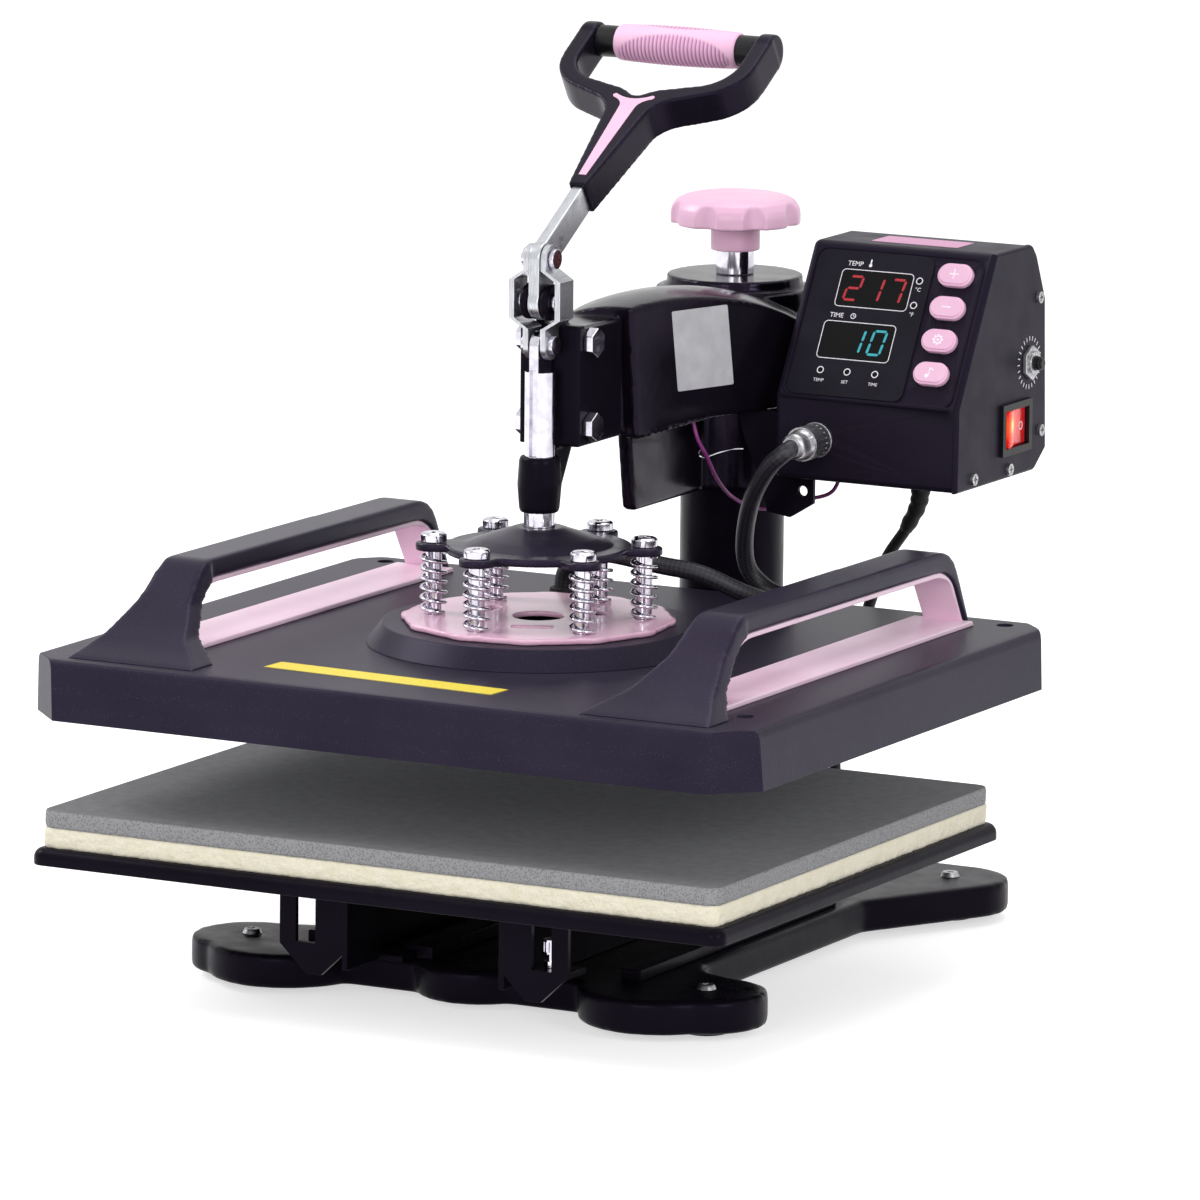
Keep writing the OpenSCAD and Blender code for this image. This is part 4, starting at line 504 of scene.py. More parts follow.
def coil_point(t):
    """A point of the coil after t turns, in millimetres."""
    r = COIL_R - COIL_PITCH * min(t, COIL_LOOPS - t)
    down = max(0.0, min(1.0, 2 * t - COIL_LOOPS + 0.5))
    angle = 2 * math.pi * t
    return (COIL_CENTRE[0] + r * math.cos(angle), COIL_CENTRE[1] + r * math.sin(angle),
            CORD_R + COIL_PITCH * (1 - down))


coil_x = COIL_CENTRE[0] + COIL_R
coil_y = COIL_CENTRE[1]
fall = steps_from(GLAND, [(0, 0, -2), (0, 0, -15), (-3, 2, -25), (-12, 7, -38), (-26, 13, -56),
                          (-40, 21, -85), (-55, 33, -118), (-72, 50, -155)])
fall += steps_from((coil_x, coil_y, CORD_R + COIL_PITCH), [(6, -34, 15), (0, 0, 0)])
lead_path = smooth_path(fall, 8)
lead_path += [np.array(coil_point(i / TURN_STEPS)) * MM for i in range(1, COIL_LOOPS * TURN_STEPS + 1)]
lead_path += [np.array((coil_x, coil_y + TAIL_STEP * k, CORD_R)) * MM for k in range(1, TAIL_STEPS + 1)]
mains_lead = tube("mains_lead", lead_path, CORD_R * MM, rubber_black, 14)
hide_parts("power_cord", "power_coil")
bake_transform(mains_lead)

boot_path = smooth_path(fall[:4], 8)[4:4 + BOOT_RINGS]
boot_radii = [(BOOT_R - BOOT_TAPER * i / (BOOT_RINGS - 1) + (BOOT_RIB if i % 4 < 2 else -BOOT_RIB)) * MM
              for i in range(BOOT_RINGS)]
tube("lead_boot", boot_path, boot_radii, rubber_black, 20, "arm")
print("mains lead", round(path_length(lead_path), 3), "m")

# %% [markdown]
# A strap over the coil keeps it tied. It hugs the turns from above and ends on the table at
# both sides, so it is a flat arch with a little thickness, bent from one strip.
# %% Coil tie
TIE_FOOT, TIE_SHOULDER, TIE_TOP, TIE_HALF = 0.4, 9, 13, 5
tie_mesh = bpy.data.meshes.new("coil_tie")
inner_r, outer_r = COIL_R - 3 * COIL_PITCH - CORD_R - 0.8, COIL_R + CORD_R + 0.8
arch = [(outer_r, TIE_FOOT), (outer_r, TIE_SHOULDER), (outer_r - 2.5, TIE_TOP),
        (inner_r + 2.5, TIE_TOP), (inner_r, TIE_SHOULDER), (inner_r, TIE_FOOT)]
arch += [(inner_r - 1, TIE_FOOT), (inner_r - 1, TIE_SHOULDER + 0.5), (inner_r + 2, TIE_TOP + 1),
         (outer_r - 2, TIE_TOP + 1), (outer_r + 1, TIE_SHOULDER + 0.5), (outer_r + 1, TIE_FOOT)]
verts = [(COIL_CENTRE[0] - r, COIL_CENTRE[1] + side * TIE_HALF, z) for side in (-1, 1) for r, z in arch]
n = len(arch)
faces = [(i, i + 1, n - 2 - i, n - 1 - i) for i in range(n // 2 - 1)]
faces += [tuple(k + n for k in reversed(f)) for f in faces]
faces += [(i, i + n, (i + 1) % n + n, (i + 1) % n) for i in range(n)]
tie_mesh.from_pydata([tuple(c * MM for c in v) for v in verts], [], faces)
face_outwards(tie_mesh)
coil_tie = new_piece("coil_tie", tie_mesh, black_plastic, "base")
print("coil tie spans", round(outer_r - inner_r, 1), "mm")

# %% [markdown]
# The heater cable leaves the round connector, drops behind the head and rises over to the
# platen's back. It hangs between the arm and the plunger. A
# short metal neck clamps it at the connector. The probe lead makes a small loop from under the
# arm to the box, past a clip of bent spring wire.
# %% Heater cable and probe lead
SOCKET = (86, 80, 260)
COVER_TOP = 170
NECK = ((62, 6.6), (58, 6.6), (54.5, 6.6), (53, 6.2), (52.2, 5.2))
cable_points = steps_from(SOCKET, [
    (0, -16, 0), (0, -24.5, 0), (-3.5, -31, -3.5), (-13, -28, -12), (-29, -14, -31), (-42, 4, -54),
    (-45, 14, -71), (-36, 17, -81), (-20, 8, -83.5), (-14, -18, -81), (-21, -38, -73.5), (-39, -49, -64),
    (-61, -52, -61)])
cable_points += steps_from((0, 0, COVER_TOP), [
    (-6, 33, 31), (-24, 39, 27.5), (-34.5, 42, 19), (-37, 43, 9), (-37, 43, -1)])
cable_path = smooth_path(cable_points, 10)
heater_lead = tube("heater_lead", cable_path, 4.5 * MM, braid_black, 24)
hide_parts("heater_cable")
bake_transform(heater_lead)

# the neck is given by its places along y and its radius at each
tube("cable_neck", [np.array((SOCKET[0], y, SOCKET[2])) * MM for y, r in NECK], [r * MM for y, r in NECK],
     zinc_steel, 28, "arm")

# the lead starts just inside the arm's right wall, which leans out by 37 mm over 101 mm
ARM_Z = 264
probe_x = 14 + 37 * 45 / 101 - 1.8
probe_points = [(probe_x, 55, ARM_Z + 18), (probe_x, 55, ARM_Z + 8), (probe_x + 3, 55, ARM_Z - 4),
                (34, 60, ARM_Z - 13), (33, 75, ARM_Z - 28), (33, 93, ARM_Z - 40), (38, 113, ARM_Z - 48),
                (50, 127, ARM_Z - 45), (65, 137, 223), (68, 143, 234), (68, 144, 238.8)]
probe_path = smooth_path(probe_points, 8)
probe_wire = tube("probe_wire", probe_path, 1.0 * MM, wire_magenta, 10, "arm")
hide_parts("probe_lead")
clip_points = [(32.6, 57, 253.4), (31, 58, 251.6), (33.4, 58, 249.8), (31.5, 80, 249), (28.5, 100, 247.5),
               (28, 112, 246)]
tube("wire_clip", smooth_path(clip_points, 8), 0.55 * MM, plated_steel, 8, "arm")
print("heater cable", round(path_length(cable_path), 3), "m")
print("probe lead", round(path_length(probe_path), 3), "m")


# %% [markdown]
# ## Dressing the CAD pieces
# A CAD solid has knife-sharp edges, and light never catches them. A copy of each node gets
# its triangles joined to flats, its sharp edges rounded by a bevel as wide as the real
# edge, and normals weighted by face size, so that flats stay flat and bevels catch a line of
# light. Some edges are rolled far more than the rest, so a rule may pick those out first.
# Castings and thick mouldings are round everywhere, and a bevel can't follow all their short
# edges. Those are rebuilt on a grid of small cubes (the Remesh modifier) and smoothed instead.
# %% Rounding helper
WELD = 2e-6
FLAT, EDGE, SHARP = math.radians(0.5), math.radians(32), math.radians(38)


def as_mesh(piece):
    """Turns a piece's modifiers into a plain mesh."""
    evaluated = piece.evaluated_get(bpy.context.evaluated_depsgraph_get())
    mesh = bpy.data.meshes.new_from_object(evaluated)
    piece.modifiers.clear()
    piece.data = mesh


def stand_in(piece, node):
    """Puts a finished piece in a CAD node's place, on its body."""
    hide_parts(node)
    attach(piece, body_of[node])


def rounded(bm, chosen, width_mm, steps, clamped):
    """Bevels the sharp convex edges that the rule chooses."""
    edges = [e for e in bm.edges if e.is_convex and e.calc_face_angle(0) > EDGE and chosen(e)]
    bmesh.ops.bevel(bm, geom=edges, offset=width_mm * MM, offset_type="OFFSET", segments=steps,
                    profile=0.5, affect="EDGES", clamp_overlap=clamped)


def dressed(node, material, edge_mm=0.0, steps=2, roll=None, roll_mm=0.0, roll_steps=5):
    """A finished copy of a CAD node: roll picks the edges that are rounded by roll_mm first."""
    bm = bmesh.new()
    bm.from_mesh(frame["nodes"][node].data)
    bmesh.ops.remove_doubles(bm, verts=bm.verts, dist=WELD)
    bmesh.ops.dissolve_limit(bm, angle_limit=FLAT, verts=bm.verts, edges=bm.edges)
    if roll:
        rounded(bm, roll, roll_mm, roll_steps, False)
    if edge_mm:
        rounded(bm, lambda e: True, edge_mm, steps, True)
    mesh = bpy.data.meshes.new(node + "_finished")
    bm.to_mesh(mesh)
    bm.free()
    mesh.shade_smooth()
    mesh.set_sharp_from_angle(angle=SHARP)
    piece = new_piece(node + "_finished", mesh, material)
    weigh = piece.modifiers.new("weigh", "WEIGHTED_NORMAL")
    weigh.keep_sharp = True
    as_mesh(piece)
    stand_in(piece, node)
    return piece


def moulded(node, material, grid_mm, soft_steps, filling=None):
    """A copy of a CAD node, with any filling, rebuilt on a fine grid and smoothed until it is round."""
    mesh = frame["nodes"][node].data.copy()
    mesh.name = node + "_finished"
    if filling:
        filling.from_mesh(mesh)
        filling.to_mesh(mesh)
        filling.free()
    piece = new_piece(node + "_finished", mesh, material)
    grid = piece.modifiers.new("grid", "REMESH")
    grid.mode = "VOXEL"
    grid.voxel_size = grid_mm * MM
    soften = piece.modifiers.new("soften", "SMOOTH")
    soften.factor = 0.5
    soften.iterations = soft_steps
    as_mesh(piece)
    give_finish(piece.data, material)
    piece.data.shade_smooth()
    stand_in(piece, node)
    print(node, "rebuilt with", len(piece.data.polygons), "faces")
    return piece


def ends(edge):
    return [v.co / MM for v in edge.verts]


print("rounding helper ready")

# %% [markdown]
# The base is one sand casting with well rounded edges, so it is rebuilt on a grid and smoothed
# in many steps. The pressed plate under the pads has a rolled rim, so a bevel runs along its
# top outline. The post, stands and rails keep small edges.
# %% Base, post and lower platen
PLATE_TOP = 76.4


def plate_rim(e):
    return min(v.z for v in ends(e)) > PLATE_TOP


base = moulded("base_casting", black_enamel, 1.6, 20)
rolled_plate = dressed("lower_plate", black_enamel, 0.6, 2, plate_rim, 5.0, 6)
for node in ("post", "guide_rails", "platen_stands"):
    dressed(node, black_enamel, 0.8)
dressed("rubber_feet", rubber_black, 0.6)
dressed("base_screws", zinc_steel, 0.15, 1)
dressed("thumb_screw", plated_steel, 0.2, 1)
print("base pieces:", base.name, len(base.data.polygons), "faces,", rolled_plate.name)

# %% [markdown]
# The arm is a gloss-coated casting, and the clamp that carries the toggle is bolted to its
# nose. The toggle's bar and links are cut from steel bar, and its pins are plated.
# %% Arm, clamp and toggle
moulded("arm_casting", arm_enamel, 1.3, 6)
moulded("clamp_bracket", black_enamel, 0.9, 3)
dressed("bracket_bolts", plated_steel, 0.5)
dressed("swivel_sleeve", zinc_steel, 0.4)
for node in ("pivot_pin", "lever_pin", "link_rivets", "plunger_rod", "pressure_screw"):
    dressed(node, plated_steel, 0.4)
dressed("lever_bar", lever_steel, 0.7)
dressed("link_plates", lever_steel, 0.5)
dressed("box_bracket", black_enamel, 0.5)
print("arm, clamp and toggle dressed")


# %% [markdown]
# The platen's cover has a rounded top edge and slanted corners, and its handles are thick
# mouldings with soft edges. Their pink liners are drawn in a little at both sides, so that the
# handles' rounded edges stand proud of them. The spring plate shows its pink edge.
# %% Platen
HANDLE_X = 0.148
LINER_SHARE = 0.86
COVER_RIM_X, RIM_EDGE = 150, 12


def cover_top_edge(e):
    a, b = ends(e)
    on_rim = min(a.z, b.z) > COVER_TOP - 0.1 and max(abs(a.x), abs(b.x)) > COVER_RIM_X
    return on_rim and (a - b).length > RIM_EDGE


dressed("platen_cover", powder_purple, 0.5, 2, cover_top_edge, 2.5, 4)
dressed("hub_collar", powder_purple, 1.0, 3)
moulded("side_handles", handle_purple, 1.05, 12)
# the liners wear the lightened pink, painted light against the handles' shade
liners = dressed("handle_inserts", pink_liner_painted_light, 0.6)
for vertex in liners.data.vertices:
    middle = math.copysign(HANDLE_X, vertex.co.x)
    vertex.co.x = middle + (vertex.co.x - middle) * LINER_SHARE
moulded("spring_plate", pink_enamel, 0.8, 8)
moulded("spider_plate", satin_purple, 0.8, 4)
dressed("shoulder_bolts", plated_steel, 0.4)
dressed("heating_plate", cast_alloy, 0.8)
dressed("cable_gland", rubber_black, 0.4)
print("platen dressed")

# %% [markdown]
# The handle frame is a thick moulding with soft edges. Its recess is filled before it is
# rebuilt, because the pink inlay that the photograph shows there is slimmer: the inlay's solid,
# fattened a little and sunk to the frame's face, is the filling. The knob is turned round with
# eight flutes, and each flute's edge is soft to the hand.
# %% Lever handle and knob
HANDLE_LEAN = math.radians(31.7)
FATTEN, SINK = 0.4, 0.6
out_of_handle = Vector((0, -math.sin(HANDLE_LEAN), math.cos(HANDLE_LEAN)))
filling = bmesh.new()
filling.from_mesh(frame["nodes"]["handle_inlay"].data)
bmesh.ops.remove_doubles(filling, verts=filling.verts, dist=WELD)
filling.normal_update()
for vertex, shift in [(v, v.normal * FATTEN - out_of_handle * SINK) for v in filling.verts]:
    vertex.co += shift * MM
moulded("handle_frame", lever_purple, 0.6, 27, filling)
dressed("handle_tube", black_plastic, 0.6)
moulded("pressure_knob", pink_abs, 0.7, 5)
print("handle and knob dressed")


# %% [markdown]
# The control box is a folded and coated shell with a side cover. Its long edges are rounded,
# while the cutouts keep their small ones, so the rule asks for long edges away from the seam.
# The heater's connector looks slimmer than its solid, so it is drawn in about its axis.
# %% Control box
SEAM_X, LONG_BOX_EDGE = 160, 30
COVER_FACE_X, LONG_COVER_EDGE = 163.9, 20
SLIMMER = 0.82


def box_edge(e):
    a, b = ends(e)
    return (a - b).length > LONG_BOX_EDGE and min(a.x, b.x) < SEAM_X


def cover_edge(e):
    a, b = ends(e)
    return (a - b).length > LONG_COVER_EDGE and min(a.x, b.x) > COVER_FACE_X


dressed("box_shell", box_purple, 0.4, 1, box_edge, 3.0, 4)
dressed("box_side_cover", box_purple, 0.4, 1, cover_edge, 1.6, 3)
dressed("box_screws", zinc_steel, 0.15, 1)
dressed("switch_frame", black_plastic, 0.5)
dressed("breaker_body", zinc_steel, 0.4)
dressed("breaker_button", black_plastic, 0.5)
for node in ("connector_socket", "coupling_ring"):
    turned = dressed(node, zinc_steel, 0.3)
    for vertex in turned.data.vertices:
        vertex.co.x = (SOCKET[0] + (vertex.co.x / MM - SOCKET[0]) * SLIMMER) * MM
        vertex.co.z = (SOCKET[2] + (vertex.co.z / MM - SOCKET[2]) * SLIMMER) * MM
dressed("cord_gland", black_plastic, 0.4)
dressed("power_rocker", rocker_red, 0.5)
for node in ("button_plus", "button_minus", "button_set", "button_sound"):
    dressed(node, pink_abs, 0.9, 3)
plug = dressed("power_plug", black_plastic, 0.5)
for node, material in (("control_board", board_green), ("heating_element", zinc_steel),
                       ("cover_screws", zinc_steel)):
    give_finish(frame["nodes"][node].data, material)
print("box dressed")


# %% [markdown]
# ## Springs
# Six springs stand round the bolts between the pink plate and the spider. A spring repeats, so
# Geometry Nodes make it: a Spiral curve swept by a small circle, and one copy of it on each
# point of a ring. The tree ends in Realize Instances, because the export drops instances.
# %% Spring ring
def node_group(name, sizes):
    """An empty Geometry Nodes tree with one named input for each size, and a geometry output."""
    tree = bpy.data.node_groups.new(name, "GeometryNodeTree")
    for label, kind in sizes:
        tree.interface.new_socket(label, in_out="INPUT", socket_type=kind)
    tree.interface.new_socket("Geometry", in_out="OUTPUT", socket_type="NodeSocketGeometry")
    return tree, add(tree, "NodeGroupInput").outputs


def grown(name, tree, values, material):
    """A piece made by a tree: each input is set by its identifier, and the result is kept as a mesh."""
    piece = new_piece(name, bpy.data.meshes.new(name), material)
    modifier = piece.modifiers.new("grow", "NODES")
    modifier.node_group = tree
    for item in tree.interface.items_tree:
        if item.in_out == "INPUT":
            modifier[item.identifier] = values[item.name]
    as_mesh(piece)
    return piece


def close_tree(tree, geometry, finish):
    """Ends a tree: its instances are made real and get their finish."""
    real = add(tree, "GeometryNodeRealizeInstances", {"Geometry": geometry})
    coated = add(tree, "GeometryNodeSetMaterial", {"Geometry": real, "Material": finish})
    add(tree, "NodeGroupOutput", {"Geometry": coated})


FLOAT, INT, MATERIAL = "NodeSocketFloat", "NodeSocketInt", "NodeSocketMaterial"
tree, sizes = node_group("spring_ring", [
    ("Count", INT), ("Ring radius", FLOAT), ("First angle", FLOAT), ("Coil radius", FLOAT),
    ("Wire radius", FLOAT), ("Turns", FLOAT), ("Height", FLOAT), ("Centre Y", FLOAT), ("Foot Z", FLOAT),
    ("Finish", MATERIAL)])
spiral = add(tree, "GeometryNodeCurveSpiral", {
    "Resolution": 28, "Rotations": sizes["Turns"], "Start Radius": sizes["Coil radius"],
    "End Radius": sizes["Coil radius"], "Height": sizes["Height"]})
section = add(tree, "GeometryNodeCurvePrimitiveCircle", {"Resolution": 10, "Radius": sizes["Wire radius"]})
wire = add(tree, "GeometryNodeCurveToMesh", {"Curve": spiral, "Profile Curve": section,
                                             "Fill Caps": True})
ring = add(tree, "GeometryNodeMeshCircle", {"Vertices": sizes["Count"], "Radius": sizes["Ring radius"]})
spin = add(tree, "ShaderNodeCombineXYZ", {"Z": sizes["First angle"]})
foot = add(tree, "ShaderNodeCombineXYZ", {"Y": sizes["Centre Y"], "Z": sizes["Foot Z"]})
placed = add(tree, "GeometryNodeTransform", {"Geometry": ring, "Translation": foot,
                                             "Rotation": spin})
copies = add(tree, "GeometryNodeInstanceOnPoints", {"Points": placed, "Instance": wire})
close_tree(tree, copies, sizes["Finish"])
springs = grown("wound_springs", tree, {
    "Count": 6, "Ring radius": 0.052, "First angle": math.radians(23), "Coil radius": 0.006,
    "Wire radius": 0.0009, "Turns": 6.0, "Height": 0.0298, "Centre Y": -0.051, "Foot Z": 0.18425,
    "Finish": plated_steel}, plated_steel)
springs.data.shade_smooth()
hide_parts("pressure_springs")
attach(springs, "platen")
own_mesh(springs)
print("springs", len(springs.data.polygons), "faces")


# %% [markdown]
# ## Pads
# The felt and the sponge are cut sheets, so their faces are flat and their edges are not
# quite straight. Each is a ring of points round the cut edge, pushed in and out by noise, in
# several rows from bottom to top, and closed by flat faces. The felt's edge is rougher.
# %% Felt pad and sponge pad
EDGE_STEP, EDGE_ROWS = 1.8, 9
WAVE_ALONG, WAVE_UP = 2.5, 2.0


def cut_sheet(name, node, face_finish, cut_finish, corner_mm, rough_mm, bulge_mm):
    """A sheet in its node's box with a wavy cut edge that bulges a little."""
    (x0, y0, z0), (x1, y1, z1) = (tuple(c / MM for c in corner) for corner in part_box(node))
    corners = [(x1 - corner_mm, y1 - corner_mm, 0), (x0 + corner_mm, y1 - corner_mm, 90),
               (x0 + corner_mm, y0 + corner_mm, 180), (x1 - corner_mm, y0 + corner_mm, 270)]
    outline = []
    for x, y, first in corners:
        for angle in (math.radians(first + 15 * k) for k in range(7)):
            out = Vector((math.cos(angle), math.sin(angle)))
            outline.append((Vector((x, y)) + out * corner_mm, out))
    points = []
    for (a, a_out), (b, b_out) in zip(outline, outline[1:] + outline[:1]):
        parts = max(1, round((b - a).length / EDGE_STEP))
        points += [(a.lerp(b, k / parts), a_out.lerp(b_out, k / parts)) for k in range(parts)]
    count = len(points)
    verts, faces = [], []
    for j in range(EDGE_ROWS):
        t = j / (EDGE_ROWS - 1)
        z = z0 + (z1 - z0) * t
        for at, out in points:
            wave = noise.noise(Vector((at.x / WAVE_ALONG, at.y / WAVE_ALONG, z / WAVE_UP)))
            edge = at + out * (rough_mm * wave - rough_mm - bulge_mm * (2 * t - 1) ** 4)
            verts.append((edge.x * MM, edge.y * MM, z * MM))
    for j in range(EDGE_ROWS - 1):
        for k in range(count):
            n = (k + 1) % count
            faces.append((j * count + k, j * count + n, (j + 1) * count + n, (j + 1) * count + k))
    faces += [tuple(reversed(range(count))), tuple((EDGE_ROWS - 1) * count + k for k in range(count))]
    mesh = bpy.data.meshes.new(name)
    mesh.from_pydata(verts, [], faces)
    mesh.polygons.foreach_set("use_smooth", [True] * (len(faces) - 2) + [False, False])
    piece = new_piece(name, mesh, cut_finish, "lower_platen")
    mesh.materials.append(face_finish)
    mesh.polygons.foreach_set("material_index", [0] * (len(faces) - 2) + [1, 1])
    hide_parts(node)
    return piece


felt_sheet = cut_sheet("felt_sheet", "felt_pad", felt_cream, felt_cream, 5, 0.7, 0.5)
sponge_sheet = cut_sheet("sponge_sheet", "silicone_pad", sponge_skin, sponge_cut,
                         7, 0.15, 0.6)
print("pads", len(felt_sheet.data.vertices), "and", len(sponge_sheet.data.vertices), "points")

# %% [markdown]
# ## The grip
# The pink grip is a rubber sleeve with a smooth skin, and two oval patches of fine rings that
# keep the hand from slipping. A turned form with a wave added inside the ovals gives that: the
# wave fades out at the edge of each oval.
# %% Ribbed grip
GRIP_Y, GRIP_Z = 93.1, 450.0
GRIP_HALF, GRIP_R, BORE_R, END_ROUND = 34.0, 10.0, 8.1, 2.0
RIBS, RIB_DEPTH = 31, 0.75
OVALS = (math.radians(215), math.radians(35))
OVAL_HALF, OVAL_SPREAD, OVAL_FADE = 32.0, math.radians(78), 8
STEPS_ALONG, STEPS_ROUND = 8 * RIBS, 72
rounds = [2 * math.pi * k / STEPS_ROUND for k in range(STEPS_ROUND)]
rings, grooves = [], []
for i in range(STEPS_ALONG + 1):
    x = -GRIP_HALF + 2 * GRIP_HALF * i / STEPS_ALONG
    end = max(0.0, abs(x) - (GRIP_HALF - END_ROUND)) / END_ROUND
    smooth_r = GRIP_R - (x / GRIP_HALF) ** 2 - (1 - math.sqrt(max(0.0, 1 - end * end)))
    wave = 0.5 - 0.5 * math.cos(2 * math.pi * RIBS * i / STEPS_ALONG)
    ring = []
    for angle in rounds:
        off = min(abs((angle - at + math.pi) % (2 * math.pi) - math.pi) for at in OVALS)
        oval = 1 - (x / OVAL_HALF) ** 2 - (off / OVAL_SPREAD) ** 2
        groove = max(0.0, min(1.0, oval * OVAL_FADE)) * wave
        ring.append((x, smooth_r - RIB_DEPTH * groove, angle))
        grooves.append(groove)
    rings.append(ring)
rings += [[(x, BORE_R, angle) for angle in rounds] for x in (GRIP_HALF, -GRIP_HALF)]
verts = [(x * MM, (GRIP_Y + r * math.cos(a)) * MM, (GRIP_Z + r * math.sin(a)) * MM)
         for ring in rings for x, r, a in ring]
faces = []
for i in range(len(rings)):
    for k in range(STEPS_ROUND):
        j, n = (i + 1) % len(rings), (k + 1) % STEPS_ROUND
        faces.append((i * STEPS_ROUND + k, i * STEPS_ROUND + n, j * STEPS_ROUND + n, j * STEPS_ROUND + k))
mesh = bpy.data.meshes.new("ribbed_grip")
mesh.from_pydata(verts, [], faces)
face_outwards(mesh)
mesh.shade_smooth()
mesh.set_sharp_from_angle(angle=math.radians(80))
depths = mesh.attributes.new("groove", "FLOAT", "POINT")
depths.data.foreach_set("value", grooves + [0.0] * (2 * STEPS_ROUND))
ribbed_grip = new_piece("ribbed_grip", mesh, pink_rubber, "lever")
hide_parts("grip_sleeve")
print("grip", len(mesh.polygons), "faces")

# %% [markdown]
# ## The control panel
# The slanted face has its own flat coordinates: x across it, v up it and w out of it, in
# millimetres. Each mark is a thin prism in those coordinates, a fraction of a millimetre
# proud of what carries it, so that it is a closed form like the rest.
# %% Panel coordinates and thin prisms
PANEL_FOOT = (62, 80, 281)
SLANT_DEPTH, SLANT_RISE = 41, 73
SLANT = math.atan2(SLANT_RISE, SLANT_DEPTH)


def on_panel(x, v, w):
    y = PANEL_FOOT[1] + v * math.cos(SLANT) - w * math.sin(SLANT)
    return Vector((PANEL_FOOT[0] + x, y, PANEL_FOOT[2] + v * math.sin(SLANT) + w * math.cos(SLANT))) * MM


def box_outline(x0, v0, x1, v1, r):
    """A rectangle with round corners."""
    corners = ((x1 - r, v1 - r, 0), (x0 + r, v1 - r, 90), (x0 + r, v0 + r, 180), (x1 - r, v0 + r, 270))
    return [(cx + r * math.cos(math.radians(a + 18 * k)), cv + r * math.sin(math.radians(a + 18 * k)))
            for cx, cv, a in corners for k in range(6)]


def disc(x, v, r, steps=24):
    angles = [2 * math.pi * k / steps for k in range(steps)]
    return [(x + r * math.cos(a), v + r * math.sin(a)) for a in angles]


def prism(bm, outline, low, high, place=on_panel):
    """A filled outline as a thin closed form."""
    rows = [[bm.verts.new(place(x, v, w)) for x, v in outline] for w in (low, high)]
    bm.faces.new(reversed(rows[0]))
    bm.faces.new(rows[1])
    for i in range(len(outline)):
        j = (i + 1) % len(outline)
        bm.faces.new((rows[0][i], rows[0][j], rows[1][j], rows[1][i]))


def band(bm, outer, inner, low, high, place=on_panel):
    """The band between two outlines with as many points each, as a thin closed form."""
    rings = [[bm.verts.new(place(x, v, w)) for x, v in outline]
             for outline in (outer, inner) for w in (low, high)]
    for i in range(len(outer)):
        j = (i + 1) % len(outer)
        for a, b in ((0, 1), (1, 3), (3, 2), (2, 0)):
            bm.faces.new((rings[a][i], rings[a][j], rings[b][j], rings[b][i]))


def stroke(bm, a, b, width, low, high, place=on_panel):
    """A straight bar from a to b."""
    a, b = Vector(a), Vector(b)
    side = (b - a).normalized().orthogonal() * width / 2
    prism(bm, [tuple(a - side), tuple(a + side), tuple(b + side), tuple(b - side)], low, high, place)


def printed(name, bm, material, body):
    """Keeps what was drawn as one piece on a body."""
    bmesh.ops.recalc_face_normals(bm, faces=bm.faces)
    mesh = bpy.data.meshes.new(name)
    bm.to_mesh(mesh)
    bm.free()
    return new_piece(name, mesh, material, body)


print("panel slants at", round(math.degrees(SLANT), 1), "degrees")

# %% [markdown]
# The film is a dark plate with round corners. Two windows with white borders hold the digits,
# small rings mark the lamps, a fine raised line runs round film and buttons, and a low round
# ridge marks the fold at the slant's foot.
# %% Film, windows, borders and lamp rings
FILM_TOP, GLASS_TOP, BORDER_TOP, DIGIT_TOP = 0.8, 0.84, 0.88, 0.9
WINDOWS = ((20.8, 49.5, 60.3, 69.0), (18.0, 21.5, 57.5, 41.0))
WINDOW_CORNER, BORDER = 2, 0.4
LAMPS = ((64, 66), (64, 52.9), (22, 14.8), (36.9, 14.8), (52.3, 14.8))
LAMP_R, LAMP_RING_R, LAMP_RING_BORE = 1.5, 1.9, 1.4
FOLD = ((65, 0.6), (66, 1.3), (113, 1.3), (158, 1.3), (159, 0.6))
bm = bmesh.new()
prism(bm, box_outline(6, 1.5, 70, 79.2, 5), 0.0, FILM_TOP)
film = printed("panel_film", bm, panel_film, "arm")
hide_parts("display_panel")

glass, borders = bmesh.new(), bmesh.new()
for x0, v0, x1, v1 in WINDOWS:
    inner = box_outline(x0, v0, x1, v1, WINDOW_CORNER)
    outer = box_outline(x0 - BORDER, v0 - BORDER, x1 + BORDER, v1 + BORDER, WINDOW_CORNER + BORDER)
    prism(glass, inner, FILM_TOP, GLASS_TOP)
    band(borders, outer, inner, FILM_TOP, BORDER_TOP)
for x, v in LAMPS:
    prism(glass, disc(x, v, LAMP_R), FILM_TOP, GLASS_TOP)
    band(borders, disc(x, v, LAMP_RING_R), disc(x, v, LAMP_RING_BORE), FILM_TOP, BORDER_TOP)
printed("panel_windows", glass, window_glass, "arm")
printed("panel_borders", borders, white_ink, "arm")

bm = bmesh.new()
band(bm, box_outline(3.4, 0.2, 97.6, 80.8, 6.5), box_outline(4.4, 1.1, 96.6, 79.9, 5.6), -0.1, 0.5)
printed("panel_rim", bm, box_purple, "arm")

# the fold is given by its places along x and its radius at each
tube("panel_fold", [np.array((x, 80.6, 280.9)) * MM for x, r in FOLD], [r * MM for x, r in FOLD],
     box_purple, 12, "arm")
print("film with", len(WINDOWS), "windows and", len(LAMPS), "lamps")

